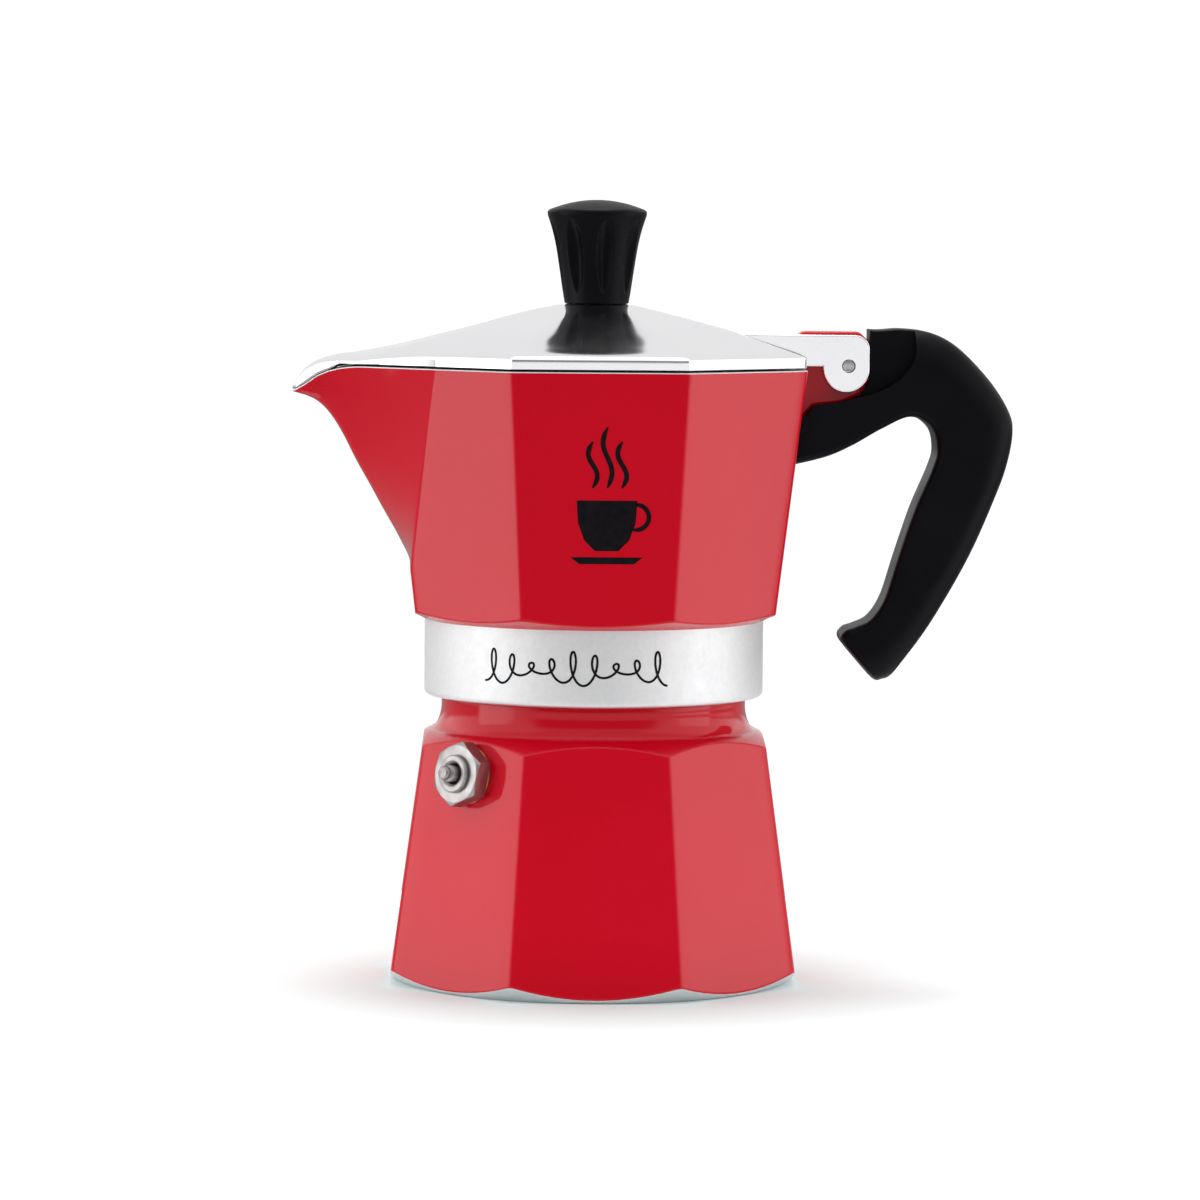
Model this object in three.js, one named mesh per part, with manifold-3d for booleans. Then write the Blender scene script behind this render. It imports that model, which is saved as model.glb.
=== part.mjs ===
// Stovetop moka pot, three-cup size: an octagonal boiler with a safety valve, a coffee funnel, and a
// spouted collector that carries the handle and a hinged lid. Millimetres, +Z up, origin at the centre
// of the boiler's base. The spout points along -X and the handle along +X.
import * as THREE from "three";
import { mergeVertices } from "three/addons/utils/BufferGeometryUtils.js";
import Module from "manifold-3d";

const wasm = await Module();
wasm.setup();

// Clearance left between pieces that touch, and how finely round things are divided.
const GAP = 0.3;
const FINE = 48;
const COARSE = 20;

// Boiler.
const BOILER_APOTHEM = 42.97;
const BOILER_TAPER = 0.1356;
const BOILER_TOP = 69.8;
const NECK_RADIUS = 31.6;
const NECK_BORE = 28.8;

// Collector: collar, jug and spout.
const COLLAR_RADIUS = 35.94;
const COLLAR_BORE = 32.7;
const COLLAR_BOTTOM = 60;
const COLLAR_TOP = 76.4;
const JUG_APOTHEM = 37.99;
const JUG_APOTHEM_HEIGHT = 80;
const JUG_TAPER = 0.1181;
const JUG_WALL = 3;
const JUG_FLOOR = 80.6;
const RIM_HEIGHT = 129.85;
const SPOUT_START = 88;
const SPOUT_START_ANGLE = 22.5;
const SPOUT_RIM_ANGLE = 39.9;

// Underside of the spout, as [height, distance from the axis].
const KEEL = [
  [88, 39.0],
  [93, 41.3],
  [98, 44.1],
  [104, 47.4],
  [110, 50.8],
  [116, 53.9],
  [120, 56.6],
  [122.4, 59.2],
  [123.7, 62.3],
  [124.3, 64.6],
  [131, 64.9],
];

// Top edge of the spout's lip, seen from the side, as [x, z].
const LIP = [
  [-50.5, RIM_HEIGHT],
  [-54.6, 129.3],
  [-58, 128.2],
  [-61.6, 125.8],
  [-64.5, 124.2],
  [-67, 123.4],
];

// Filter stack between boiler and collector.
const FUNNEL_RADIUS = 31.2;
const BASKET_RADIUS = 26.9;
const SHEET = 0.8;
const TUBE_RADIUS = 4.4;
const TUBE_END = 9;
const FLANGE_TOP = BOILER_TOP + GAP + SHEET;
const GASKET_HEIGHT = 3.2;
const GASKET_TOP = FLANGE_TOP + GAP + GASKET_HEIGHT;
const PLATE_RADIUS = 29.3;

// Lid: roof profile as [apothem, height], from the rim to the boss under the knob.
const LID_APOTHEM = 43.6;
const LID_BOTTOM = RIM_HEIGHT + 0.45;
const LID_ROOF = [
  [43.6, 133],
  [38.1, 135.3],
  [29, 137.2],
  [23.8, 138.7],
  [18.7, 140.5],
  [12.4, 142.2],
  [7, 143.1],
];
const LID_THICKNESS = 2;
const KNOB_BASE = 143.4;

// Beak of the lid over the spout: stations of [x, half width, ridge, edge, underside].
const BEAK = [
  [-30, 26, 135.8, 132.6, 128],
  [-33.8, 28.1, 135.2, 132.9, 128],
  [-40, 22.3, 134.6, 132.4, 128],
  [-45, 17.6, 133.7, 131.7, 128],
  [-49.4, 13.4, 132.9, 131.0, 128],
  [-54.8, 8.2, 132.1, 131.0, 128],
  [-57.6, 5.6, 131.3, 130.3, 127],
  [-60.2, 3.6, 130.1, 129.2, 126],
  [-62.2, 2.1, 128.4, 127.8, 124],
  [-63.5, 0.9, 126.7, 126.4, 123],
];

// Hinge between lid and collector.
const HINGE_X = 53;
const HINGE_Z = 130.6;
const PIN_RADIUS = 1.25;
const PIN_BORE = PIN_RADIUS + GAP;
const LUG_HALF = 5;
const EAR_INNER = LUG_HALF + GAP;
const EAR_OUTER = 8.6;

// Handle.
const HANDLE_HALF = 9;
const TONGUE_HALF = 3.5;
const SCREW_X = 50.5;
const SCREW_RADIUS = 1.5;
const SCREW_HEAD_TOP = 115.6;

// Safety valve, on the facet between the spout side and the front.
const VALVE_HEIGHT = 45.5;
const VALVE_SHANK = 4.6;
const VALVE_CHAMBER = 3.1;
const HEX_ACROSS_FLATS = 12;
const STEM_RADIUS = 1.5;
const STEM_TIP = 8.4;

const EIGHTH = THREE.MathUtils.degToRad(22.5);

// ---- Solids ----

// Turns a closed geometry into a solid that booleans can use.
function toSolid(geometry) {
  const bare = geometry.clone();
  bare.deleteAttribute("normal");
  bare.deleteAttribute("uv");
  const merged = mergeVertices(bare, 1e-4);
  const mesh = new wasm.Mesh({
    numProp: 3,
    vertProperties: new Float32Array(merged.attributes.position.array),
    triVerts: new Uint32Array(merged.index.array),
  });
  return new wasm.Manifold(mesh);
}

function toGeometry(solid) {
  const mesh = solid.getMesh();
  const geometry = new THREE.BufferGeometry();
  geometry.setAttribute("position", new THREE.BufferAttribute(mesh.vertProperties, 3));
  geometry.setIndex(new THREE.BufferAttribute(mesh.triVerts, 1));
  geometry.computeVertexNormals();
  return geometry;
}

// Area of a closed outline, positive when it runs counter-clockwise.
function signedArea(points) {
  return THREE.ShapeUtils.area(points.map(([x, y]) => new THREE.Vector2(x, y)));
}

// A turned solid about +Z from a profile of [radius, height] that starts and ends on the axis.
function turned(profile, segments = FINE) {
  const upward = signedArea(profile) > 0 ? profile : [...profile].reverse();
  const points = upward.map(([r, z]) => new THREE.Vector2(r, z));
  return toSolid(new THREE.LatheGeometry(points, segments).rotateX(Math.PI / 2));
}

// A turned solid from a closed profile that stays off the axis.
function turnedRing(profile, segments = FINE) {
  return turned([...profile, profile[0]], segments);
}

function rod(radius, bottom, top, segments = COARSE) {
  const height = top - bottom;
  const geometry = new THREE.CylinderGeometry(radius, radius, height, segments);
  return toSolid(geometry.rotateX(Math.PI / 2).translate(0, 0, bottom + height / 2));
}

// An eight-sided prism whose flats face along X and Y, with its own apothem at each end.
function octagon(bottomApothem, topApothem, bottom, top) {
  const stretch = 1 / Math.cos(EIGHTH);
  const height = top - bottom;
  const geometry = new THREE.CylinderGeometry(topApothem * stretch, bottomApothem * stretch, height, 8);
  geometry.rotateX(Math.PI / 2).rotateZ(EIGHTH);
  return toSolid(geometry.translate(0, 0, bottom + height / 2));
}

// An outline in X and Z, given depth along Y and centred on Y = middle.
function slab(outline, halfDepth, middle = 0) {
  const shape = new THREE.Shape(outline.map(([x, z]) => new THREE.Vector2(x, z)));
  return slabOfShape(shape, halfDepth, middle);
}

function slabOfShape(shape, halfDepth, middle = 0, options = {}) {
  const settings = { depth: 2 * halfDepth, bevelEnabled: false, curveSegments: 6, ...options };
  const geometry = new THREE.ExtrudeGeometry(shape, settings);
  return toSolid(geometry.rotateX(Math.PI / 2).translate(0, halfDepth + middle, 0));
}

function box(low, high) {
  const size = low.map((v, i) => high[i] - v);
  const centre = low.map((v, i) => (high[i] + v) / 2);
  return toSolid(new THREE.BoxGeometry(...size).translate(...centre));
}

// A closed skin over rings of points, each ring seen counter-clockwise from beyond the last one.
function loft(rings) {
  const count = rings[0].length;
  const points = rings.flat();
  const faces = [];
  for (let ring = 0; ring + 1 < rings.length; ring++) {
    for (let i = 0; i < count; i++) {
      const a = ring * count + i;
      const b = ring * count + ((i + 1) % count);
      faces.push(a, b, b + count, a, b + count, a + count);
    }
  }
  const last = (rings.length - 1) * count;
  for (const [start, flipped] of [
    [0, true],
    [last, false],
  ]) {
    const centre = points.length;
    const sum = new THREE.Vector3();
    for (let i = 0; i < count; i++) sum.add(points[start + i]);
    points.push(sum.divideScalar(count));
    for (let i = 0; i < count; i++) {
      const a = start + i;
      const b = start + ((i + 1) % count);
      faces.push(...(flipped ? [centre, b, a] : [centre, a, b]));
    }
  }
  const geometry = new THREE.BufferGeometry().setFromPoints(points);
  geometry.setIndex(faces);
  return toSolid(geometry);
}

function atPlace(solid, matrix) {
  return toSolid(toGeometry(solid).applyMatrix4(matrix));
}

// Small round holes on rings of [ring radius, count].
function drilled(solid, rings, holeRadius, bottom, top) {
  let result = solid;
  for (const [radius, count] of rings) {
    for (let i = 0; i < count; i++) {
      const angle = (2 * Math.PI * i) / count;
      const matrix = new THREE.Matrix4();
      matrix.makeTranslation(radius * Math.cos(angle), radius * Math.sin(angle), 0);
      result = result.subtract(atPlace(rod(holeRadius, bottom, top, 6), matrix));
    }
  }
  return result;
}

// ---- Boiler and its valve ----

function boilerApothem(height) {
  return BOILER_APOTHEM - BOILER_TAPER * height;
}

// Frame of the valve: +Z leaves the facet, +Y points up along it.
function valveMatrix() {
  const tilt = Math.atan(BOILER_TAPER);
  const side = Math.SQRT1_2;
  const normal = new THREE.Vector3(-side * Math.cos(tilt), -side * Math.cos(tilt), Math.sin(tilt));
  const across = new THREE.Vector3(side, -side, 0);
  const up = new THREE.Vector3().crossVectors(normal, across);
  const reach = boilerApothem(VALVE_HEIGHT) * side;
  const matrix = new THREE.Matrix4().makeBasis(across, up, normal);
  return matrix.setPosition(-reach, -reach, VALVE_HEIGHT);
}

function boiler() {
  const turning = turned([
    [0, 0],
    [41.9, 0],
    [46.6, 3.9],
    [47.2, 4.6],
    [47.2, 46.4],
    [35.76, 53.2],
    [35.2, 53.7],
    [33.6, 55],
    [32.5, 56.8],
    [32.2, 58.6],
    [32.2, 60],
    [NECK_RADIUS, 60.7],
    [NECK_RADIUS, BOILER_TOP - 0.6],
    [NECK_RADIUS - 0.6, BOILER_TOP],
    [0, BOILER_TOP],
  ]);
  const cavity = turned([
    [0, 3.2],
    [35, 3.2],
    [38.4, 7],
    [33, 49.5],
    [NECK_BORE, 56.5],
    [NECK_BORE, BOILER_TOP + 2],
    [0, BOILER_TOP + 2],
  ]);
  const outside = octagon(BOILER_APOTHEM, boilerApothem(BOILER_TOP), 0, BOILER_TOP);
  const boss = atPlace(rod(6.8, -5, -2.2), valveMatrix());
  const bore = atPlace(rod(VALVE_SHANK + GAP, -9, 4), valveMatrix());
  return outside.intersect(turning).subtract(cavity).add(boss).subtract(bore);
}

function valveWasher() {
  return rod(6.2, GAP, GAP + 0.5).subtract(rod(VALVE_SHANK + GAP, 0, 2));
}

function valveBody() {
  const hex = toSolid(
    new THREE.CylinderGeometry(
      HEX_ACROSS_FLATS / Math.sqrt(3),
      HEX_ACROSS_FLATS / Math.sqrt(3),
      3.3,
      6,
    )
      .rotateX(Math.PI / 2)
      .rotateZ(-0.11)
      .translate(0, 0, 2.75),
  );
  const chamfer = turned([
    [0, 0],
    [7.2, 0],
    [7.2, 3.7],
    [6, 4.4],
    [0, 4.4],
  ]);
  const shank = rod(VALVE_SHANK, -6, 2);
  const chamber = rod(VALVE_CHAMBER, -4, 6);
  const seat = rod(1.9, -8, 0);
  return hex.intersect(chamfer).add(shank).subtract(chamber).subtract(seat);
}

function valveSeal() {
  return rod(2.8, -3.7, -2.7).subtract(rod(1.9, -5, 0));
}

function valveStem() {
  return turned(
    [
      [0, -7],
      [1.2, -7],
      [1.4, -6.8],
      [1.4, -2.4],
      [2.5, -2.4],
      [2.5, -1.4],
      [STEM_RADIUS, -1.4],
      [STEM_RADIUS, 6.2],
      [1.1, 6.4],
      [1.1, 6.7],
      [STEM_RADIUS, 6.9],
      [STEM_RADIUS, STEM_TIP - 0.4],
      [1.1, STEM_TIP],
      [0, STEM_TIP],
    ],
    COARSE,
  );
}

// Centre line of a coil about +Z.
class Coil extends THREE.Curve {
  constructor(radius, bottom, top, turns) {
    super();
    Object.assign(this, { radius, bottom, top, turns });
  }

  getPoint(t, target = new THREE.Vector3()) {
    const angle = 2 * Math.PI * this.turns * t;
    const height = this.bottom + (this.top - this.bottom) * t;
    return target.set(this.radius * Math.cos(angle), this.radius * Math.sin(angle), height);
  }
}

function valveSpring() {
  const wire = new THREE.Shape().absarc(0, 0, 0.25, 0, 2 * Math.PI);
  const path = new Coil(2.35, -0.75, 2.45, 4);
  return toSolid(
    new THREE.ExtrudeGeometry(wire, { steps: 40, curveSegments: 3, extrudePath: path }),
  );
}

function valveBush() {
  return turnedRing(
    [
      [2.1, 3.1],
      [2.8, 3.1],
      [2.8, 4.7],
      [3.95, 4.7],
      [3.95, 5.3],
      [3.7, 5.5],
      [2.5, 5.5],
      [2.1, 5.1],
    ],
    COARSE,
  );
}

// ---- Funnel, gasket and filter plate ----

function funnel() {
  const bore = TUBE_RADIUS - SHEET;
  return turnedRing([
    [bore, TUBE_END],
    [TUBE_RADIUS, TUBE_END],
    [TUBE_RADIUS, 42],
    [6.5, 44.5],
    [25.2, 48.6],
    [BASKET_RADIUS, 50.4],
    [BASKET_RADIUS, FLANGE_TOP - SHEET],
    [FUNNEL_RADIUS, FLANGE_TOP - SHEET],
    [FUNNEL_RADIUS, FLANGE_TOP],
    [BASKET_RADIUS - SHEET, FLANGE_TOP],
    [BASKET_RADIUS - SHEET, 50.8],
    [24.8, 49.4],
    [6, 45.3],
    [bore, 42.6],
  ]);
}

function funnelScreen() {
  const disc = rod(BASKET_RADIUS - SHEET - GAP, 51, 51.7, FINE);
  return drilled(disc, [[9, 6], [18, 12]], 0.9, 50, 53);
}

function gasket() {
  return turnedRing([
    [26.4, FLANGE_TOP + GAP],
    [COLLAR_BORE - GAP, FLANGE_TOP + GAP],
    [COLLAR_BORE - GAP, GASKET_TOP],
    [26.4, GASKET_TOP],
  ]);
}

function filterPlate() {
  const disc = rod(PLATE_RADIUS, GASKET_TOP + GAP, GASKET_TOP + GAP + SHEET, FINE);
  return drilled(disc, [[8, 6], [15, 10], [21, 14]], 0.8, GASKET_TOP, GASKET_TOP + 3);
}

// ---- Collector ----

function jugApothem(height) {
  return JUG_APOTHEM + JUG_TAPER * (height - JUG_APOTHEM_HEIGHT);
}

// One level of the jug, moved in by inset: six corners of the octagon and the spout's nose.
function jugRing(height, keel, inset) {
  const apothem = jugApothem(Math.max(height, JUG_APOTHEM_HEIGHT - 4)) - inset;
  const corner = apothem / Math.cos(EIGHTH);
  const rise = THREE.MathUtils.clamp((height - SPOUT_START) / (RIM_HEIGHT - SPOUT_START), 0, 1);
  const turn = THREE.MathUtils.lerp(SPOUT_START_ANGLE, SPOUT_RIM_ANGLE, rise);
  const root = THREE.MathUtils.degToRad(turn);
  const reach = apothem / Math.cos(Math.PI / 4 - root);
  const join = [-reach * Math.cos(root), -reach * Math.sin(root)];
  const tip = Math.max(keel - inset, apothem);
  const sharp = tip + (tip - apothem) * 0.05;
  const nose = [
    -THREE.MathUtils.lerp(sharp, -join[0], 0.09),
    -THREE.MathUtils.lerp(0, -join[1], 0.09),
  ];
  const ring = [];
  for (const turns of [-5, -3, -1, 1, 3, 5]) {
    ring.push(new THREE.Vector3(corner * Math.cos(turns * EIGHTH), corner * Math.sin(turns * EIGHTH), height));
  }
  ring.push(new THREE.Vector3(join[0], -join[1], height));
  ring.push(new THREE.Vector3(nose[0], -nose[1], height));
  ring.push(new THREE.Vector3(-tip, 0, height));
  ring.push(new THREE.Vector3(nose[0], nose[1], height));
  ring.push(new THREE.Vector3(join[0], join[1], height));
  return ring;
}

// The jug with its spout as one block, moved in by inset and standing on bottom.
function jugBlock(inset, bottom) {
  const levels = [[bottom, jugApothem(bottom)]];
  if (bottom < JUG_APOTHEM_HEIGHT - 4) levels.push([JUG_APOTHEM_HEIGHT - 4, JUG_APOTHEM]);
  return loft([...levels, ...KEEL].map(([height, keel]) => jugRing(height, keel, inset)));
}

// Everything over the jug's rim and the spout's lip.
function overRim() {
  return slab([[80, RIM_HEIGHT], [80, 150], [-80, 150], [-80, 123], ...[...LIP].reverse()], 60);
}

// Casting that joins the jug to the hinge and to the handle, moved out by margin.
function hingeLug(margin) {
  const outline = [
    [42.3, 116 - margin],
    [43.4, 118.4 - margin],
    [44.1, 120.1 - margin],
    [45.8, 122 - margin],
    [51.7, 122.7 - margin],
    [55.6 + margin, 124.4 - margin],
    [57.4 + margin, 127.5],
    [57.4 + margin, 135.8],
    [55.4 + margin, 137.8 + margin],
    [43.2, 137.8 + margin],
    [42.3, 136.9],
  ];
  return slab(outline, LUG_HALF + margin);
}

// Tongue inside the handle that its screw goes into.
function handleTongue(margin) {
  const outline = [
    [42.3, 117.4 - margin],
    [50, 118.4 - margin],
    [57.5, 121 - margin],
    [64 + margin, 124.5 - margin],
    [64 + margin, 129 + margin],
    [55, 129 + margin],
    [50, 123],
    [42.3, 123],
  ];
  return slab(outline, TONGUE_HALF + margin);
}

function alongPin(radius, halfLength) {
  const turn = new THREE.Matrix4().makeRotationX(Math.PI / 2).setPosition(HINGE_X, 0, HINGE_Z);
  return atPlace(rod(radius, -halfLength, halfLength), turn);
}

function collector() {
  const turning = turned([
    [0, 50],
    [COLLAR_RADIUS, 50],
    [COLLAR_RADIUS, COLLAR_TOP],
    [37.7, 77.9],
    [41.2, 79.3],
    [44, 81.5],
    [80, 90],
    [80, 150],
    [0, 150],
  ]);
  const collar = turned([
    [0, COLLAR_BOTTOM],
    [34.2, COLLAR_BOTTOM],
    [35.4, COLLAR_BOTTOM + 0.6],
    [COLLAR_RADIUS, COLLAR_BOTTOM + 2.1],
    [COLLAR_RADIUS, COLLAR_TOP + 0.5],
    [0, COLLAR_TOP + 0.5],
  ]);
  const socket = turned([
    [0, 50],
    [COLLAR_BORE, 50],
    [COLLAR_BORE, GASKET_TOP + GAP],
    [PLATE_RADIUS + GAP, GASKET_TOP + GAP],
    [PLATE_RADIUS + GAP, GASKET_TOP + GAP + SHEET + GAP],
    [27, GASKET_TOP + GAP + SHEET + GAP],
    [6.6, 78.6],
    [6.6, 90],
    [0, 90],
  ]);
  const floor = turned([
    [0, JUG_FLOOR],
    [31, JUG_FLOOR],
    [36, 84],
    [80, 95],
    [80, 150],
    [0, 150],
  ]);
  const block = jugBlock(0, COLLAR_TOP - 0.4).intersect(turning).add(collar);
  const hollow = jugBlock(JUG_WALL, JUG_FLOOR - 2).intersect(floor);
  const screwHole = atPlace(rod(SCREW_RADIUS + GAP, 110, 124), screwPlace());
  return block
    .subtract(hollow)
    .subtract(socket)
    .subtract(overRim())
    .add(hingeLug(0))
    .add(handleTongue(0))
    .subtract(alongPin(PIN_BORE, 20))
    .subtract(screwHole);
}

// A tapered tube with a closed, domed top and two side ports.
function brewColumn() {
  const outside = turned([
    [0, 76.8],
    [6.3, 76.8],
    [6.3, JUG_FLOOR + GAP],
    [8.4, JUG_FLOOR + GAP],
    [8.2, 82],
    [6.3, 86],
    [4.9, 112],
    [4.6, 116],
    [3.2, 118.3],
    [0, 119],
  ], 24);
  const bore = turned([
    [0, 70],
    [5, 70],
    [5, 80],
    [3.1, 114],
    [0, 116.4],
  ], COARSE);
  const port = box([-10, -1.6, 109], [10, 1.6, 113.5]);
  return outside.subtract(bore).subtract(port);
}

// ---- Handle ----

function screwPlace() {
  return new THREE.Matrix4().makeTranslation(SCREW_X, 0, 0);
}

function handle() {
  const shape = new THREE.Shape();
  shape.moveTo(40, 140);
  shape.lineTo(40, 109.2);
  shape.splineThru(
    [
      [48, 111.3],
      [54, 113.9],
      [60.1, 117.4],
      [66.2, 120],
      [70.7, 117.4],
      [71.9, 113.2],
      [71, 109],
      [67.3, 100.4],
      [63.9, 90.2],
      [61.2, 81],
      [57.8, 76.2],
      [51.6, 73.2],
    ].map(([x, z]) => new THREE.Vector2(x, z)),
  );
  shape.lineTo(51.2, 71.6);
  shape.lineTo(57.2, 64);
  shape.splineThru(
    [
      [60.1, 63.1],
      [63.5, 66],
      [71.5, 76.6],
      [79.2, 90.3],
      [85.2, 104],
      [87.8, 112.4],
      [88, 119.5],
      [83.1, 127.7],
      [76.5, 134.5],
      [70.5, 137.7],
      [64.3, 138.4],
      [57.5, 138.1],
    ].map(([x, z]) => new THREE.Vector2(x, z)),
  );
  const edge = { bevelEnabled: true, bevelThickness: 2.6, bevelSize: 1.5, bevelOffset: -1.5, bevelSegments: 2 };
  const block = slabOfShape(shape, HANDLE_HALF - 2.6, 0, { ...edge, curveSegments: 2 });
  const jug = jugBlock(-GAP - 0.1, COLLAR_TOP);
  const besideLug = box([30, -LUG_HALF - GAP, 122], [57.4 + GAP, LUG_HALF + GAP, 160]);
  const corner = slab([[30, 120], [44.5, 120], [46, 122.4], [52, 123.1], [30, 150]], 20);
  const shank = atPlace(rod(SCREW_RADIUS + GAP, 100, 130), screwPlace());
  const head = atPlace(rod(3.3, 100, SCREW_HEAD_TOP + GAP), screwPlace());
  return block
    .subtract(jug)
    .subtract(hingeLug(GAP))
    .subtract(handleTongue(GAP))
    .subtract(besideLug)
    .subtract(corner)
    .subtract(earRelief(1))
    .subtract(earRelief(-1))
    .subtract(shank)
    .subtract(head);
}

// Space beside the handle's top that the lid's ears swing through.
function earRelief(side) {
  const shape = new THREE.Shape();
  shape.moveTo(30, 123.4);
  shape.lineTo(53, 123.4);
  shape.lineTo(58.8, 124.9);
  shape.quadraticCurveTo(67.3, 128.6, 67.3, 134.6);
  shape.lineTo(66.8, 145);
  shape.lineTo(30, 145);
  return slabOfShape(shape, 5, side * (LUG_HALF + 5));
}

function handleScrew() {
  return turned(
    [
      [0, SCREW_HEAD_TOP - 1.7],
      [2.2, SCREW_HEAD_TOP - 1.7],
      [3, SCREW_HEAD_TOP - 1.1],
      [3, SCREW_HEAD_TOP],
      [SCREW_RADIUS, SCREW_HEAD_TOP],
      [SCREW_RADIUS, 121.5],
      [1, 122.2],
      [0, 122.2],
    ],
    COARSE,
  ).subtract(box([-2, -0.35, SCREW_HEAD_TOP - 2], [2, 0.35, SCREW_HEAD_TOP - 1.1]));
}

function hingePin() {
  return toGeometry(alongPin(PIN_RADIUS, EAR_OUTER - 0.2));
}

// ---- Lid and knob ----

// Cross-sections of the beak, moved in by inset.
function beak(inset) {
  const rings = BEAK.map(([x, half, ridge, edge, underside]) => {
    const width = Math.max(half - inset * 1.3, 0.35);
    const drop = inset * 0.9;
    const shoulder = THREE.MathUtils.lerp(ridge, edge, 0.35);
    const along = x < -33 ? x + inset : x;
    return [
      [-width, underside],
      [-width, edge - drop],
      [-width * 0.55, shoulder - drop],
      [0, ridge - drop],
      [width * 0.55, shoulder - drop],
      [width, edge - drop],
      [width, underside],
    ].map(([y, z]) => new THREE.Vector3(along, y, z));
  });
  return loft(rings);
}

function lidBlock(inset) {
  const drop = inset * 0.95;
  let block = octagon(LID_APOTHEM - inset, LID_APOTHEM - inset, 126, LID_ROOF[0][1] - drop);
  for (let i = 0; i + 1 < LID_ROOF.length; i++) {
    const [outer, low] = LID_ROOF[i];
    const [inner, high] = LID_ROOF[i + 1];
    block = block.add(octagon(outer - inset, inner - inset * 0.5, low - drop - 0.01, high - drop));
  }
  return block.add(beak(inset));
}

// Everything under the lid's edge: level over the jug, and following the lip along the beak.
function underLid() {
  const lip = LIP.slice(1).map(([x, z]) => [x - 0.1, z + GAP]);
  return slab([[80, LID_BOTTOM], [-54.7, LID_BOTTOM], ...lip, [-80, 100], [80, 100]], 60);
}

function ears() {
  const shape = new THREE.Shape();
  shape.moveTo(37.5, 131.2);
  shape.lineTo(44.4, 130.5);
  shape.lineTo(47.6, 130.5);
  shape.absarc(52.5, 130, 4.9, Math.PI, 2 * Math.PI, false);
  shape.lineTo(57.4, 134.1);
  shape.absarc(54.4, 134.1, 3, 0, Math.PI / 2, false);
  shape.lineTo(44.2, 137.1);
  shape.lineTo(43.9, 134);
  shape.lineTo(37.5, 134.6);
  const half = (EAR_OUTER - EAR_INNER) / 2;
  const middle = (EAR_OUTER + EAR_INNER) / 2;
  const far = slabOfShape(shape, half, middle);
  return slabOfShape(shape, half, -middle).add(far);
}

function lid() {
  const notch = box([40.3, -EAR_INNER, 120], [60, EAR_INNER, 150]);
  const boss = turned([[0, 139], [6.9, 139], [6.9, 143.1], [0, 143.1]], 24);
  const hole = rod(2.2, 130, 150);
  return lidBlock(0)
    .subtract(lidBlock(LID_THICKNESS))
    .add(boss)
    .subtract(underLid())
    .add(ears())
    .subtract(notch)
    .subtract(alongPin(PIN_BORE, 20))
    .subtract(hole);
}

// Eight almond-shaped hollows round the knob's side.
function knob() {
  const outside = turned([
    [0, KNOB_BASE],
    [6.7, KNOB_BASE],
    [7.6, 149],
    [8.9, 155.8],
    [10.4, 161.6],
    [10.6, 162.5],
    [8, 164.2],
    [4, 164.95],
    [0, 165.1],
  ], 32);
  const socket = rod(3.7, 140, 153.8);
  let result = outside.subtract(socket);
  for (let i = 0; i < 8; i++) {
    const hollow = new THREE.SphereGeometry(1, 8, 6).scale(2.4, 2.1, 7.6);
    const angle = THREE.MathUtils.degToRad(-79 + 45 * i);
    hollow.rotateY(0.19).translate(10.1, 0, 153.2).rotateZ(angle);
    result = result.subtract(toSolid(hollow));
  }
  return result;
}

function knobInsert() {
  return rod(3.4, KNOB_BASE + GAP, 153.5).subtract(rod(2.2, 140, 151));
}

function knobScrew() {
  return turned(
    [
      [0, 137.4],
      [2.6, 137.4],
      [3.6, 138.1],
      [3.6, 138.6],
      [1.9, 138.6],
      [1.9, 150],
      [1.4, 150.6],
      [0, 150.6],
    ],
    COARSE,
  ).subtract(box([-3, -0.4, 137], [3, 0.4, 138]));
}

// ---- Assembly ----

const FINISHES = {
  red_enamel: { color: 0xb4001a, roughness: 0.25, metalness: 0 },
  polished_aluminium: { color: 0xd8d9dc, roughness: 0.22, metalness: 1 },
  steel: { color: 0xb9bbbd, roughness: 0.3, metalness: 1 },
  nickel: { color: 0xc8c4bc, roughness: 0.35, metalness: 1 },
  spring_steel: { color: 0x9a9ca0, roughness: 0.4, metalness: 1 },
  rubber: { color: 0xe9e6df, roughness: 0.75, metalness: 0 },
  copper: { color: 0xb8734a, roughness: 0.4, metalness: 1 },
  brass: { color: 0xc9a45a, roughness: 0.35, metalness: 1 },
  black_plastic: { color: 0x17171b, roughness: 0.38, metalness: 0 },
};

function mesh(name, shape, finish) {
  const geometry = shape.isBufferGeometry ? shape : toGeometry(shape);
  const piece = new THREE.Mesh(geometry, new THREE.MeshStandardMaterial(FINISHES[finish]));
  piece.name = name;
  return piece;
}

const pot = new THREE.Group();
pot.add(
  mesh("boiler", boiler(), "red_enamel"),
  mesh("funnel", funnel(), "polished_aluminium"),
  mesh("funnel_screen", funnelScreen(), "polished_aluminium"),
  mesh("gasket", gasket(), "rubber"),
  mesh("filter_plate", filterPlate(), "polished_aluminium"),
  mesh("collector", collector(), "red_enamel"),
  mesh("brew_column", brewColumn(), "polished_aluminium"),
  mesh("handle", handle(), "black_plastic"),
  mesh("hinge_pin", hingePin(), "steel"),
  mesh("lid", lid(), "polished_aluminium"),
  mesh("knob", knob(), "black_plastic"),
  mesh("knob_insert", knobInsert(), "brass"),
  mesh("knob_screw", knobScrew(), "steel"),
);

const handleFastening = new THREE.Group();
handleFastening.applyMatrix4(screwPlace());
handleFastening.add(mesh("handle_screw", handleScrew(), "steel"));
pot.add(handleFastening);

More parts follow.
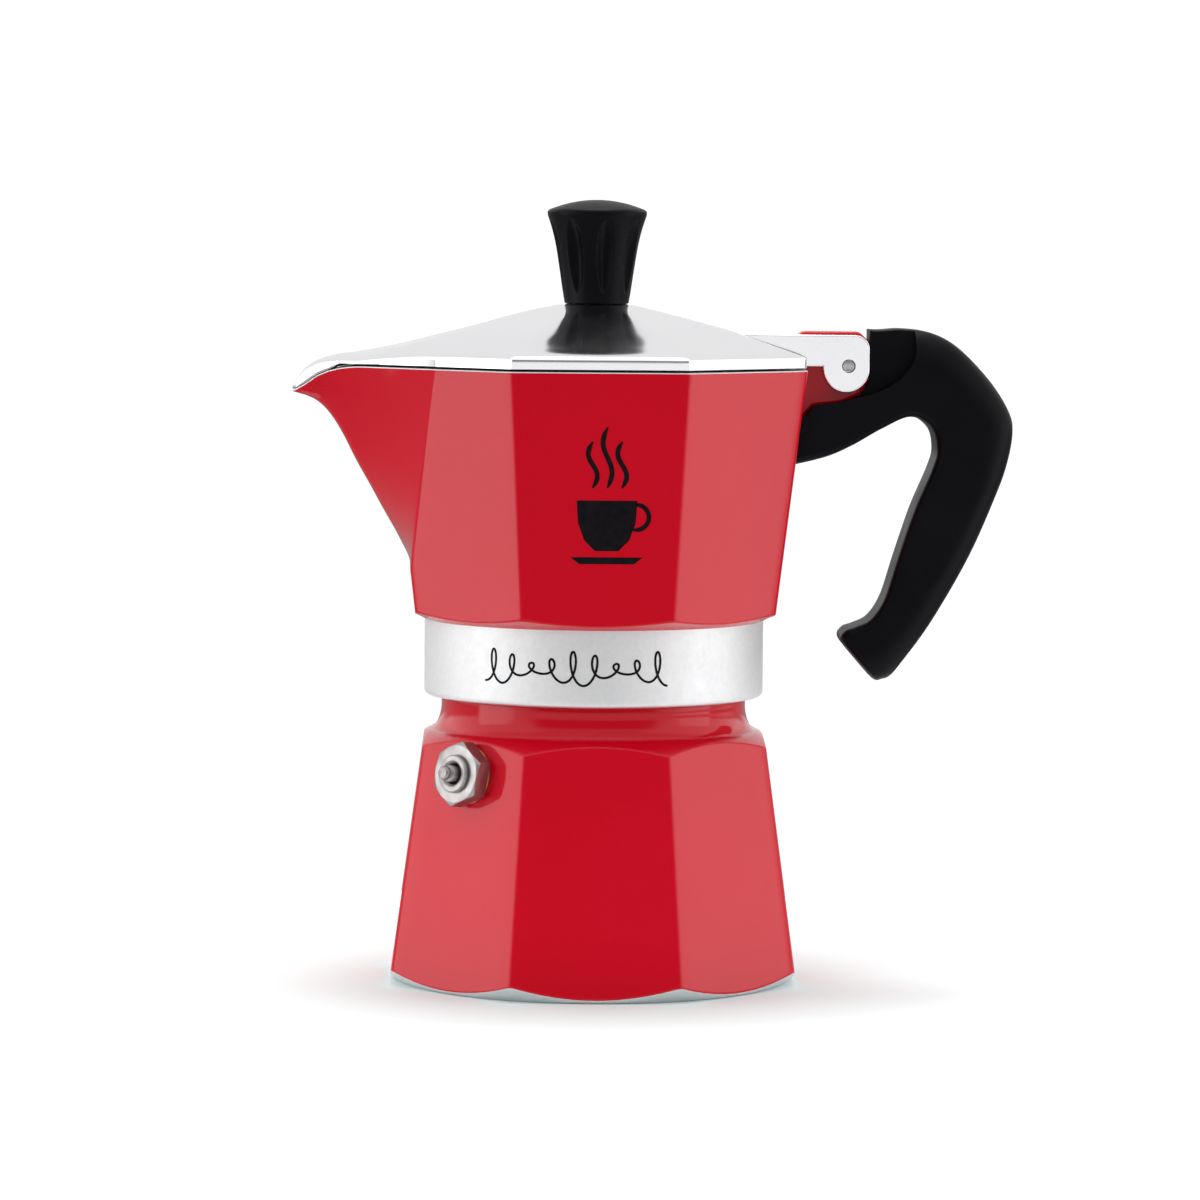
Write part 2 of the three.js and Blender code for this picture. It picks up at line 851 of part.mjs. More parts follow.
const valve = new THREE.Group();
valve.applyMatrix4(valveMatrix());
valve.add(
  mesh("valve_washer", valveWasher(), "copper"),
  mesh("valve_body", valveBody(), "nickel"),
  mesh("valve_seal", valveSeal(), "rubber"),
  mesh("valve_stem", valveStem(), "nickel"),
  mesh("valve_spring", valveSpring(), "spring_steel"),
  mesh("valve_bush", valveBush(), "nickel"),
);
pot.add(valve);

export default pot;
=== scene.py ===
"""Looks of a three-cup moka pot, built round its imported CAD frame."""
import math

import bmesh
import bpy
from mathutils import Matrix, Vector
from mathutils.geometry import delaunay_2d_cdt

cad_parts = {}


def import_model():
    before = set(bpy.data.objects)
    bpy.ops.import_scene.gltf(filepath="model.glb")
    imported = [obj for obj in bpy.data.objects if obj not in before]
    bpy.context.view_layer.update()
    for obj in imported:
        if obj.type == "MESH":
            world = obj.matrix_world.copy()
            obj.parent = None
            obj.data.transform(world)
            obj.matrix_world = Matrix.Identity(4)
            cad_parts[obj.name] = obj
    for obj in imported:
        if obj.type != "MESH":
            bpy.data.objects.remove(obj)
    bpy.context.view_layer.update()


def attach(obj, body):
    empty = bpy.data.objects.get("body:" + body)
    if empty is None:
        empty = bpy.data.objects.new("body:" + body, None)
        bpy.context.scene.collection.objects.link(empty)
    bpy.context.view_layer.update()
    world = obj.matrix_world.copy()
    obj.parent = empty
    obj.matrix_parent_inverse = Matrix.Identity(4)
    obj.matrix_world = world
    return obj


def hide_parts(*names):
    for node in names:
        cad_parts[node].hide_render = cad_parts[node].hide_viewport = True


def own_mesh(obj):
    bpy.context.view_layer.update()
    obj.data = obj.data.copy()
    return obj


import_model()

MM = 0.001
EIGHTH = math.radians(22.5)     # half of an octagon's side, seen from its middle
TAU = 2 * math.pi
CREASE = 35                     # degrees between faces that makes an edge crisp

# Boiler, in millimetres.
BOILER_APOTHEM = 42.97
BOILER_TAPER = 0.1356
BOILER_TOP = 69.8
FOOT_RADIUS = 41.9
FOOT_SLOPE = 4.7 / 3.9
SHOULDER_RADIUS = 35.76
SHOULDER_HEIGHT = 52.5
SHOULDER_SLOPE = 1.695
COVE_FOOT = 53.05
COVE_TOP = 58.6
COVE_RADIUS = 34.83
COVE_DEPTH = 2.58
NECK_BARE = 61.4
NECK_RADIUS = 31.6
NECK_BORE = 28.8
THREAD_LEAD = 4.0
THREAD_ROWS = 44

# Collector.
COLLAR_RADIUS = 35.94
COLLAR_BORE = 33.15
COLLAR_BOTTOM = 60.4
COLLAR_TOP = 76.5
JUG_APOTHEM = 37.99
JUG_TAPER = 0.1181
JUG_FLOOR = 80.6
RIM = 129.85
SPOUT_START = 88.0
SPOUT_START_ANGLE = 22.5
SPOUT_RIM_ANGLE = 39.9
SPOUT_HOLLOW = 0.055
SEAT = 74.7
JUG_WALL = 2.8
KEEL = [(80, 38.0), (88, 39.0), (93, 41.3), (98, 44.1), (104, 47.4), (110, 50.8), (116, 53.9),
        (120, 56.6), (122.4, 59.2), (123.7, 62.2), (124.3, 64.4), (126, 64.9), (132, 65.6)]
SPOUT_WALL = [(80, 38.0), (88, 39.0), (93, 41.3), (98, 44.1), (104, 47.4), (110, 50.8), (116, 53.9),
              (124, 58.3), (132, 62.7)]
LIP = [(50.5, RIM), (52.6, 129.65), (54.6, 129.3), (58, 128.2), (61.6, 125.8), (64.5, 124.25), (67, 123.4)]

# Lid.
LID_BOTTOM = 130.3
LID_INSET = 0.25
LID_WALL = 1.9
KNOB_SEAT = 143.2
LID_ROOF = [(6.9, 143.15), (14, 141.45), (22, 139.4), (30, 137.2), (38.1, 134.6), (43.3, 132.75),
            (43.9, 132.3), (50, 128.5)]
BEAK_RIDGE = [(6.9, 143.1), (12.4, 142.1), (18.7, 140.45), (23.8, 138.9), (29, 137.5), (33.5, 136.4),
              (38.1, 135.3), (44.9, 133.8), (50, 132.85), (54.2, 132.3), (57.4, 131.5), (59.5, 130.6),
              (61.6, 129.1), (63.0, 127.3), (63.9, 125.6)]
BEAK_DROP = [(30, 0.0), (34, 0.2), (47, 1.9), (49.6, 2.3), (54.8, 1.8), (58, 1.2), (61.6, 0.8), (64, 0.2)]

# Hinge.
HINGE = Vector((53.0, 0.0, 130.6))
PIN_RADIUS = 1.25
LUG_HALF = 5.0
EAR_INNER = 5.3
EAR_OUTER = 8.6

# Safety valve. Its own frame has its origin on the facet and +Z pointing out of it.
VALVE_HEIGHT = 45.5
HEXAGON = 12.0
HEXAGON_TURN = 83.7


# ---- Small mathematics ----

def mix(a, b, t):
    return a + (b - a) * t


def clamp(value, low=0.0, high=1.0):
    return max(low, min(high, value))


def smooth_step(low, high, value):
    t = clamp((value - low) / (high - low))
    return t * t * (3 - 2 * t)


def smooth_min(a, b, width):
    h = clamp(0.5 + 0.5 * (b - a) / width)
    return mix(b, a, h) - width * h * (1 - h)


def table_value(table, x):
    """A smooth curve through the table's points, without overshoot."""
    if x <= table[0][0]:
        return table[0][1]
    if x >= table[-1][0]:
        return table[-1][1]
    index = next(i for i in range(len(table) - 1) if x <= table[i + 1][0])

    def slope(i):
        if i <= 0 or i >= len(table) - 1:
            j = clamp(i, 0, len(table) - 2)
            return (table[j + 1][1] - table[j][1]) / (table[j + 1][0] - table[j][0])
        before = (table[i][1] - table[i - 1][1]) / (table[i][0] - table[i - 1][0])
        after = (table[i + 1][1] - table[i][1]) / (table[i + 1][0] - table[i][0])
        if before * after <= 0:
            return 0.0
        return 2 * before * after / (before + after)

    x0, y0 = table[index]
    x1, y1 = table[index + 1]
    width = x1 - x0
    t = (x - x0) / width
    h00 = 2 * t ** 3 - 3 * t ** 2 + 1
    h10 = t ** 3 - 2 * t ** 2 + t
    h01 = -2 * t ** 3 + 3 * t ** 2
    h11 = t ** 3 - t ** 2
    return h00 * y0 + h10 * width * slope(index) + h01 * y1 + h11 * width * slope(index + 1)


def bisect(function, low, high):
    """Where a rising function crosses zero."""
    for _ in range(30):
        middle = (low + high) / 2
        if function(middle) < 0:
            low = middle
        else:
            high = middle
    return (low + high) / 2


def polar(radius, angle):
    return (radius * math.cos(angle), radius * math.sin(angle))


def arc(centre, radius, start, end, count):
    """Points on an arc, angles in degrees."""
    points = []
    for i in range(count + 1):
        angle = math.radians(mix(start, end, i / count))
        points.append((centre[0] + radius * math.cos(angle), centre[1] + radius * math.sin(angle)))
    return points


def bend(start, corner, end, steps):
    """A short curve from start to end, drawn towards the corner."""
    points = []
    for k in range(steps + 1):
        t = k / steps
        p = (1 - t) ** 2 * start + 2 * t * (1 - t) * corner + t * t * end
        points.append((p.x, p.y))
    return points


def rounded(corners, cuts, arc_count, side_count):
    """A closed outline with each corner turned into a short curve that starts cuts[i] before it."""
    count = len(corners)
    points = []
    for i in range(count):
        here = Vector(corners[i])
        following = Vector(corners[(i + 1) % count])
        before = (Vector(corners[i - 1]) - here).normalized()
        after = (following - here).normalized()
        end = here + after * cuts[i]
        points += bend(here + before * cuts[i], here, end, arc_count)
        stop = following - after * cuts[(i + 1) % count]
        for k in range(1, side_count + 1):
            points.append(tuple(end.lerp(stop, k / (side_count + 1))))
    return points


# ---- Meshes ----

def new_object(name, mesh, body, materials, replaces=()):
    piece = bpy.data.objects.new(name, mesh)
    bpy.context.scene.collection.objects.link(piece)
    for material in materials:
        mesh.materials.append(material)
    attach(piece, body)
    if replaces:
        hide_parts(*replaces)
    return piece


def mark_sharp(mesh, degrees):
    """Smooth faces, with the edges sharper than degrees kept crisp."""
    limit = math.radians(degrees)
    bm = bmesh.new()
    bm.from_mesh(mesh)
    for face in bm.faces:
        face.smooth = True
    for edge in bm.edges:
        edge.smooth = len(edge.link_faces) == 2 and edge.calc_face_angle(0) < limit
    bm.to_mesh(mesh)
    bm.free()


def ring_mesh(name, rings, joined=False, row_material=None, sharp=40):
    """A skin over rings of points in millimetres. joined closes the last ring onto the first; otherwise
    both ends get a fan."""
    count = len(rings[0])
    vertices = [Vector(p) * MM for ring in rings for p in ring]
    faces = []
    indices = []
    last = len(rings) if joined else len(rings) - 1
    for row in range(last):
        upper = (row + 1) % len(rings)
        for i in range(count):
            j = (i + 1) % count
            faces.append((row * count + i, row * count + j, upper * count + j, upper * count + i))
            indices.append(row_material(row) if row_material else 0)
    if not joined:
        for row, flipped in ((0, True), (len(rings) - 1, False)):
            centre = sum((vertices[row * count + i] for i in range(count)), Vector()) / count
            vertices.append(centre)
            for i in range(count):
                a = row * count + i
                b = row * count + (i + 1) % count
                tip = len(vertices) - 1
                faces.append((tip, b, a) if flipped else (tip, a, b))
                indices.append(row_material(min(row, last - 1)) if row_material else 0)
    mesh = bpy.data.meshes.new(name)
    mesh.from_pydata([tuple(v) for v in vertices], [], faces)
    mesh.polygons.foreach_set("material_index", indices)
    bm = bmesh.new()
    bm.from_mesh(mesh)
    bmesh.ops.remove_doubles(bm, verts=bm.verts, dist=1e-7)
    bmesh.ops.recalc_face_normals(bm, faces=bm.faces)
    bm.to_mesh(mesh)
    bm.free()
    mark_sharp(mesh, sharp)
    return mesh


def circle_ring(radius, height, angles):
    return [(*polar(radius, angle), height) for angle in angles]


def even_angles(count):
    return [TAU * i / count for i in range(count)]


def circle_rings(profile, angles):
    return [circle_ring(radius, height, angles) for radius, height in profile]


def soften(profile, cut, steps=3):
    """An open profile with each inner corner eased over at most cut."""
    points = [profile[0]]
    for before, here, after in zip(profile, profile[1:], profile[2:]):
        corner = Vector(here)
        back = Vector(before) - corner
        ahead = Vector(after) - corner
        start = corner + back.normalized() * min(cut, back.length * 0.45)
        end = corner + ahead.normalized() * min(cut, ahead.length * 0.45)
        points += bend(start, corner, end, steps)
    points.append(profile[-1])
    return points


def turned_mesh(name, profile, count=96, cut=0.25, joined=False):
    """A turned piece from (radius, height) points. A joined profile is a ring off the axis."""
    if joined:
        closed = profile[-1:] + profile + profile[:1]
        points = soften(closed, cut)[1:-1]
    else:
        points = soften(profile, cut)
    off_axis = [(max(radius, 0.02), height) for radius, height in points]
    return ring_mesh(name, circle_rings(off_axis, even_angles(count)), joined=joined)


def slab_mesh(name, outline, low, high, bevel=0.3, segments=3):
    """An outline in X and Z given depth from Y = low to Y = high, with bevelled edges."""
    bm = bmesh.new()
    front = [bm.verts.new((x * MM, low * MM, z * MM)) for x, z in outline]
    back = [bm.verts.new((x * MM, high * MM, z * MM)) for x, z in outline]
    count = len(outline)
    bm.faces.new(front)
    bm.faces.new(list(reversed(back)))
    for i in range(count):
        j = (i + 1) % count
        bm.faces.new((front[i], back[i], back[j], front[j]))
    bmesh.ops.recalc_face_normals(bm, faces=bm.faces)
    if bevel:
        rim = [e for e in bm.edges if e.calc_face_angle(0) > math.radians(CREASE)]
        bmesh.ops.bevel(bm, geom=rim, offset=bevel * MM, segments=segments, profile=0.5, affect="EDGES")
        sides = sorted(bm.faces, key=lambda face: face.calc_area())[-2:]
        bmesh.ops.inset_individual(bm, faces=sides, thickness=0.05 * MM)
    mesh = bpy.data.meshes.new(name)
    bm.to_mesh(mesh)
    bm.free()
    mark_sharp(mesh, CREASE)
    return mesh


def cut_mesh(mesh, cutters, sharp=CREASE):
    """The mesh with each cutter mesh taken away from it."""
    holder = bpy.data.objects.new("holder", mesh)
    bpy.context.scene.collection.objects.link(holder)
    tools = []
    for cutter in cutters:
        tool = bpy.data.objects.new("cutter", cutter)
        bpy.context.scene.collection.objects.link(tool)
        modifier = holder.modifiers.new("cut", "BOOLEAN")
        modifier.operation = "DIFFERENCE"
        modifier.solver = "EXACT"
        modifier.object = tool
        tools.append(tool)
    bpy.context.view_layer.update()
    graph = bpy.context.evaluated_depsgraph_get()
    result = bpy.data.meshes.new_from_object(holder.evaluated_get(graph))
    result.name = mesh.name + "_cut"
    for item in [holder, *tools]:
        bpy.data.objects.remove(item)
    mark_sharp(result, sharp)
    return result


def place(mesh, matrix):
    mesh.transform(matrix)
    return mesh


def along_y(radius, low, high, x, z, count=32, name="rod"):
    """A round rod along Y."""
    profile = [(0, low), (radius, low), (radius, high), (0, high)]
    mesh = turned_mesh(name, profile, count, cut=0.15)
    turn = Matrix.Rotation(-math.pi / 2, 4, "X")
    return place(mesh, Matrix.Translation((x * MM, 0, z * MM)) @ turn)


# ---- Materials ----

class Surface:
    """A Principled material with helpers that add procedural detail to it."""

    def __init__(self, name, color, roughness, metallic=0.0, **sockets):
        self.material = bpy.data.materials.new(name)
        self.material.use_nodes = True
        self.nodes = self.material.node_tree.nodes
        self.links = self.material.node_tree.links
        self.shader = self.nodes["Principled BSDF"]
        self.shader.inputs["Base Color"].default_value = (*color, 1)
        self.shader.inputs["Roughness"].default_value = roughness
        self.shader.inputs["Metallic"].default_value = metallic
        for socket, value in sockets.items():
            self.shader.inputs[socket.replace("_", " ")].default_value = value
        coordinates = self.nodes.new("ShaderNodeTexCoord")
        self.place = coordinates.outputs["Object"]
        self.height = None

    def node(self, kind, **values):
        made = self.nodes.new(kind)
        for key, value in values.items():
            if key in made.inputs:
                made.inputs[key].default_value = value
            else:
                setattr(made, key, value)
        return made

    def noise(self, scale, detail=3.0, stretch=(1, 1, 1), vector=None):
        mapping = self.node("ShaderNodeMapping")
        mapping.inputs["Scale"].default_value = stretch
        self.links.new(vector or self.place, mapping.inputs["Vector"])
        noise = self.node("ShaderNodeTexNoise", Scale=scale, Detail=detail)
        self.links.new(mapping.outputs["Vector"], noise.inputs["Vector"])
        return noise.outputs["Fac"]

    def spread(self, factor, low, high, at=(0.3, 0.7)):
        """A factor's values from at[0] to at[1] spread from low to high."""
        ranged = self.node("ShaderNodeMapRange")
        self.links.new(factor, ranged.inputs["Value"])
        ranged.inputs["From Min"].default_value = at[0]
        ranged.inputs["From Max"].default_value = at[1]
        ranged.inputs["To Min"].default_value = low
        ranged.inputs["To Max"].default_value = high
        return ranged.outputs["Result"]

    def vary_roughness(self, factor, low, high, at=(0.3, 0.7)):
        self.links.new(self.spread(factor, low, high, at), self.shader.inputs["Roughness"])

    def vary_color(self, factor, dark, light, at=(0.3, 0.7)):
        blend = self.node("ShaderNodeMix", data_type="RGBA")
        self.links.new(self.spread(factor, 0.0, 1.0, at), blend.inputs["Factor"])
        dark_in, light_in = (s for s in blend.inputs if s.type == "RGBA")
        dark_in.default_value = (*dark, 1)
        light_in.default_value = (*light, 1)
        color_out = next(s for s in blend.outputs if s.type == "RGBA")
        self.links.new(color_out, self.shader.inputs["Base Color"])

    def bump(self, factor, depth, strength=1.0):
        """Adds relief of depth metres; a second call lies over the first."""
        relief = self.node("ShaderNodeBump", Strength=strength, Distance=depth)
        self.links.new(factor, relief.inputs["Height"])
        if self.height:
            self.links.new(self.height, relief.inputs["Normal"])
        self.height = relief.outputs["Normal"]
        self.links.new(self.height, self.shader.inputs["Normal"])

    def radius_vector(self):
        """(distance from the Z axis, 0, height), for marks that run round a turned surface."""
        split = self.node("ShaderNodeSeparateXYZ")
        self.links.new(self.place, split.inputs["Vector"])
        flat = self.node("ShaderNodeCombineXYZ")
        self.links.new(split.outputs["X"], flat.inputs["X"])
        self.links.new(split.outputs["Y"], flat.inputs["Y"])
        length = self.node("ShaderNodeVectorMath", operation="LENGTH")
        self.links.new(flat.outputs["Vector"], length.inputs[0])
        made = self.node("ShaderNodeCombineXYZ")
        self.links.new(length.outputs["Value"], made.inputs["X"])
        self.links.new(split.outputs["Z"], made.inputs["Z"])
        return made.outputs["Vector"]


def red_enamel():
    s = Surface("red_enamel", (0.55, 0.0, 0.012), 0.5, Specular_IOR_Level=0.06, Coat_Weight=1.0,
                Coat_Roughness=0.05, Coat_IOR=1.32)
    s.vary_color(s.noise(30, 4), (0.575, 0.0, 0.011), (0.595, 0.0, 0.014))
    s.vary_roughness(s.noise(140, 3), 0.45, 0.55)
    s.bump(s.noise(900, 2), 0.000003)
    return s.material


def turned_aluminium():
    s = Surface("turned_aluminium", (0.74, 0.74, 0.75), 0.7, 1.0, Anisotropic=0.2)
    tangent = s.node("ShaderNodeTangent", direction_type="RADIAL", axis="Z")
    s.links.new(tangent.outputs["Tangent"], s.shader.inputs["Tangent"])
    rings = s.noise(2600, 2, vector=s.radius_vector())
    s.vary_roughness(s.noise(400, 4), 0.56, 0.64)
    s.vary_color(s.noise(900, 3), (0.77, 0.77, 0.78), (0.81, 0.81, 0.815))
    s.bump(rings, 0.000006)
    s.bump(s.noise(2500, 2), 0.000002)
    return s.material


def cast_aluminium():
    s = Surface("cast_aluminium", (0.74, 0.74, 0.75), 0.5, 1.0)
    s.vary_roughness(s.noise(300, 4), 0.42, 0.6)
    s.vary_color(s.noise(90, 5), (0.66, 0.66, 0.68), (0.80, 0.80, 0.80))
    s.bump(s.noise(1500, 4), 0.00002)
    return s.material


def polished_aluminium():
    s = Surface("polished_aluminium", (0.88, 0.88, 0.90), 0.12, 1.0)
    s.vary_roughness(s.noise(70, 4), 0.10, 0.16)
    s.vary_color(s.noise(25, 4), (0.865, 0.865, 0.89), (0.89, 0.89, 0.905))
    s.bump(s.noise(500, 3, stretch=(1, 6, 1)), 0.000001)
    return s.material


def black_plastic():
    s = Surface("black_plastic", (0.003, 0.003, 0.0045), 0.4, Specular_IOR_Level=0.08)
    s.vary_roughness(s.noise(200, 4), 0.36, 0.44)
    s.vary_color(s.noise(60, 3), (0.0024, 0.0024, 0.0036), (0.0042, 0.0042, 0.006))
    s.bump(s.noise(2600, 2), 0.000012)
    return s.material


def turned_metal(name, dark, light, low, high):
    s = Surface(name, light, low, 1.0)
    s.vary_roughness(s.noise(500, 4), low, high)
    s.vary_color(s.noise(200, 4), dark, light)
    s.bump(s.noise(3000, 2), 0.000005)
    return s.material


def silicone():
    s = Surface("silicone", (0.80, 0.78, 0.73), 0.55, Subsurface_Weight=0.1, Subsurface_Scale=0.001)
    s.vary_roughness(s.noise(300, 3), 0.5, 0.65)
    s.vary_color(s.noise(80, 4), (0.76, 0.74, 0.69), (0.84, 0.82, 0.78))
    s.bump(s.noise(1800, 3), 0.00001)
    return s.material


def printed_ink():
    s = Surface("printed_ink", (0.004, 0.003, 0.004), 0.35, Specular_IOR_Level=0.1)
    s.vary_roughness(s.noise(600, 3), 0.3, 0.42)
    s.vary_color(s.noise(900, 3), (0.003, 0.002, 0.003), (0.008, 0.006, 0.008))
    return s.material


RED = red_enamel()
TURNED = turned_aluminium()
CAST = cast_aluminium()
POLISHED = polished_aluminium()
BLACK = black_plastic()
STEEL = turned_metal("steel", (0.50, 0.50, 0.52), (0.68, 0.68, 0.70), 0.2, 0.34)
NICKEL = turned_metal("nickel", (0.30, 0.28, 0.28), (0.42, 0.40, 0.395), 0.32, 0.48)
SPRING = turned_metal("spring_wire", (0.38, 0.38, 0.40), (0.55, 0.55, 0.57), 0.25, 0.4)
COPPER = turned_metal("copper", (0.52, 0.24, 0.13), (0.72, 0.38, 0.22), 0.28, 0.45)
BRASS = turned_metal("brass", (0.60, 0.42, 0.16), (0.80, 0.60, 0.28), 0.22, 0.38)
SILICONE = silicone()
INK = printed_ink()


# ---- Boiler ----

def boiler_apothem(height):
    return BOILER_APOTHEM - BOILER_TAPER * height


def octagon(apothem):
    return [polar(apothem / math.cos(EIGHTH), EIGHTH * k) for k in range(1, 16, 2)]


def foot_cone(height):
    """Radius of the turned edge at the boiler's foot."""
    return FOOT_RADIUS + FOOT_SLOPE * height


def shoulder_cone(height):
    """Radius of the turned shoulder above the facets."""
    return SHOULDER_RADIUS + (SHOULDER_HEIGHT - height) * SHOULDER_SLOPE


def thread_height(angle, height, low, high, depth):
    """Relief of a rounded right-hand thread between two heights."""
    turn = ((height / THREAD_LEAD) - angle / TAU) % 1.0
    ridge = smooth_step(0.22, 0.42, turn) - smooth_step(0.62, 0.82, turn)
    fade = smooth_step(low, low + 1.2, height) * (1 - smooth_step(high - 1.2, high, height))
    return depth * ridge * fade


def threaded_rings(angles, radius, start, end, low, high, depth, shift=0.0):
    """Rings from start to end with a thread between low and high, standing depth out of radius."""
    rings = []
    for k in range(THREAD_ROWS + 1):
        height = mix(start, end, k / THREAD_ROWS)
        rings.append([
            (*polar(radius + thread_height(a, height + shift, low, high, depth), a), height) for a in angles
        ])
    return rings


def boiler_rings():
    """Outside from the base's middle up to the neck, then down the inside; also the index of the first
    painted and first bare row."""
    plan = rounded(octagon(1), [0.022] * 8, 4, 10)
    factors = [math.hypot(x, y) for x, y in plan]
    angles = [math.atan2(y, x) for x, y in plan]
    near = (-0.5, -0.26, -0.13, 0.0, 0.13, 0.26, 0.5)

    def skin(factor, height):
        turned = min(foot_cone(height), shoulder_cone(height))
        return smooth_min(boiler_apothem(height) * factor, turned, 0.3)

    feet = [bisect(lambda z: foot_cone(z) - boiler_apothem(z) * f, 0, 8) for f in factors]
    tops = [bisect(lambda z: boiler_apothem(z) * f - shoulder_cone(z), 45, 56) for f in factors]
    base = [(12, 0), (24, 0), (36, 0), (40.5, 0), (41.55, 0), (41.78, 0.06), (41.98, 0.2)]
    rings = circle_rings(base, angles)

    def add(heights):
        rings.append([(*polar(skin(f, z), a), z) for f, a, z in zip(factors, angles, heights)])

    for share in (0.3, 0.65):
        add([mix(0.2, foot - 0.5, share) if foot > 1.2 else mix(0.2, foot, share / 2) for foot in feet])
    for k, step in enumerate(near):
        add([max(foot + step, 0.38 + 0.05 * k) for foot in feet])
    paint = len(rings) - 4
    for k in range(1, 16):
        add([mix(foot + 0.5, top - 0.5, k / 16) for foot, top in zip(feet, tops)])
    for step in near:
        add([top + step for top in tops])
    for share in (0.5, 1.0):
        add([mix(top + 0.5, COVE_FOOT, share) for top in tops])
    for k in range(1, 17):
        t = math.radians(90 * k / 16)
        height = mix(COVE_FOOT, COVE_TOP, 1 - math.cos(t))
        rings.append(circle_ring(COVE_RADIUS - COVE_DEPTH * math.sin(t), height, angles))
    bare = len(rings)
    rings += circle_rings([(COVE_RADIUS - COVE_DEPTH, NECK_BARE), (32.1, 61.6), (31.7, 61.8)], angles)
    rings += threaded_rings(angles, NECK_RADIUS - 0.25, 61.9, 69.0, 62.0, 69.0, 0.85)
    inside = soften([
        (31.35, 69.0), (31.0, BOILER_TOP), (NECK_BORE, BOILER_TOP), (NECK_BORE, 56.5), (33, 49.5),
        (37.6, 14), (37.4, 6.5), (34.5, 3.4), (20, 3.2), (6, 3.2)], 0.9, 4)
    rings += circle_rings(inside[1:], angles)
    return rings, paint, bare


def valve_matrix():
    tilt = math.atan(BOILER_TAPER)
    side = math.sqrt(0.5)
    normal = Vector((-side * math.cos(tilt), -side * math.cos(tilt), math.sin(tilt)))
    across = Vector((side, -side, 0))
    up = normal.cross(across)
    reach = boiler_apothem(VALVE_HEIGHT) * side
    matrix = Matrix((across, up, normal)).transposed().to_4x4()
    matrix.translation = Vector((-reach, -reach, VALVE_HEIGHT)) * MM
    return matrix


def boiler():
    rings, paint, bare = boiler_rings()

    def material(row):
        return 1 if paint <= row < bare else 0

    mesh = ring_mesh("boiler_shell", rings, row_material=material, sharp=50)
    mesh.materials.append(TURNED)
    mesh.materials.append(RED)
    bore = turned_mesh("bore", [(0, -12), (4.75, -12), (4.75, 3), (0, 3)], 32, cut=0.1)
    mesh = cut_mesh(mesh, [place(bore, valve_matrix())], sharp=50)
    new_object("boiler_shell", mesh, "boiler", [], ["boiler"])


# ---- Safety valve ----

def valve_piece(name, mesh, body, material, node):
    """A piece given in the valve's own frame, put in its place."""
    return new_object(name, place(mesh, valve_matrix()), body, [material], [node])


def valve_washer():
    profile = [(4.8, 0.02), (6.1, 0.02), (6.1, 0.8), (4.8, 0.8)]
    mesh = turned_mesh("valve_washer_ring", profile, 64, cut=0.2, joined=True)
    valve_piece("valve_washer_ring", mesh, "boiler", COPPER, "valve_washer")


def valve_body():
    corner = HEXAGON / math.sqrt(3)
    points = [polar(corner, math.radians(60 * k + HEXAGON_TURN)) for k in range(6)]
    outline = rounded(points, [0.35] * 6, 3, 8)
    angles = [math.atan2(y, x) for x, y in outline]
    lengths = [math.hypot(x, y) for x, y in outline]

    def chamfer(height):
        return min(6.05 + (4.4 - height) * 1.75, 6.7 + (height - 0.8) * 2.2)

    rings = []
    for height in (0.8, 0.95, 1.15, 1.6, 2.4, 3.2, 3.5, 3.7, 3.85, 4.0, 4.15, 4.28, 4.38, 4.4):
        reaches = [smooth_min(length, chamfer(height), 0.15) for length in lengths]
        rings.append([(*polar(reach, angle), height) for reach, angle in zip(reaches, angles)])
    inside = [(5.8, 4.42), (4.6, 4.42), (4.1, 4.42), (3.3, 4.3), (3.1, 4.1), (3.1, -3.8), (2.9, -4.0),
              (2.0, -4.0), (1.9, -4.1), (1.9, -5.9), (2.0, -6.0), (4.4, -6.0), (4.6, -5.8)]
    rings += circle_rings(inside, angles)
    for k in range(20):
        height = mix(-5.6, -0.1, k / 19)
        rings.append([(*polar(4.5 + 0.18 * math.cos(TAU * height - a), a), height) for a in angles])
    rings.append(circle_ring(4.6, 0.5, angles))
    mesh = ring_mesh("valve_hexagon", rings, joined=True, sharp=32)
    valve_piece("valve_hexagon", mesh, "boiler", NICKEL, "valve_body")


def valve_bush():
    profile = [(2.15, 3.1), (2.8, 3.1), (2.8, 4.45), (3.95, 4.45), (3.95, 5.2), (3.7, 5.5), (2.75, 5.5),
               (2.15, 4.95)]
    mesh = turned_mesh("valve_ring", profile, 64, cut=0.12, joined=True)
    valve_piece("valve_ring", mesh, "boiler", NICKEL, "valve_bush")


def valve_stem():
    profile = [(0, -7), (1.2, -7), (1.4, -6.8), (1.4, -2.4), (2.5, -2.4), (2.5, -1.4), (1.75, -1.4),
               (1.75, 6.3), (1.55, 6.55), (1.2, 6.7), (1.2, 7.0), (1.5, 7.15), (1.5, 7.85), (1.2, 8.25),
               (0, 8.4)]
    mesh = turned_mesh("valve_pin", profile, 48, cut=0.12)
    valve_piece("valve_pin", mesh, "valve_stem", NICKEL, "valve_stem")


def valve_seal():
    profile = [(1.9, -3.7), (2.8, -3.7), (2.8, -2.7), (1.9, -2.7)]
    mesh = turned_mesh("valve_seal_ring", profile, 48, cut=0.2, joined=True)
    valve_piece("valve_seal_ring", mesh, "boiler", SILICONE, "valve_seal")


def valve_spring():
    turns, steps, sides = 4, 160, 12
    wire = 0.25
    rings = []
    for k in range(steps + 1):
        t = k / steps
        angle = TAU * turns * t
        centre = Vector((*polar(2.35, angle), mix(-0.75, 2.45, t)))
        outward = Vector((*polar(1, angle), 0))
        upward = Vector((0, 0, 1))
        rings.append([
            tuple(centre + outward * wire * math.cos(a) + upward * wire * math.sin(a))
            for a in even_angles(sides)
        ])
    piece = valve_piece("valve_coil", ring_mesh("valve_coil", rings), "boiler", SPRING,
                        "valve_spring")
    matrix = valve_matrix()
    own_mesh(piece)


# ---- Funnel, gasket and filter plate ----

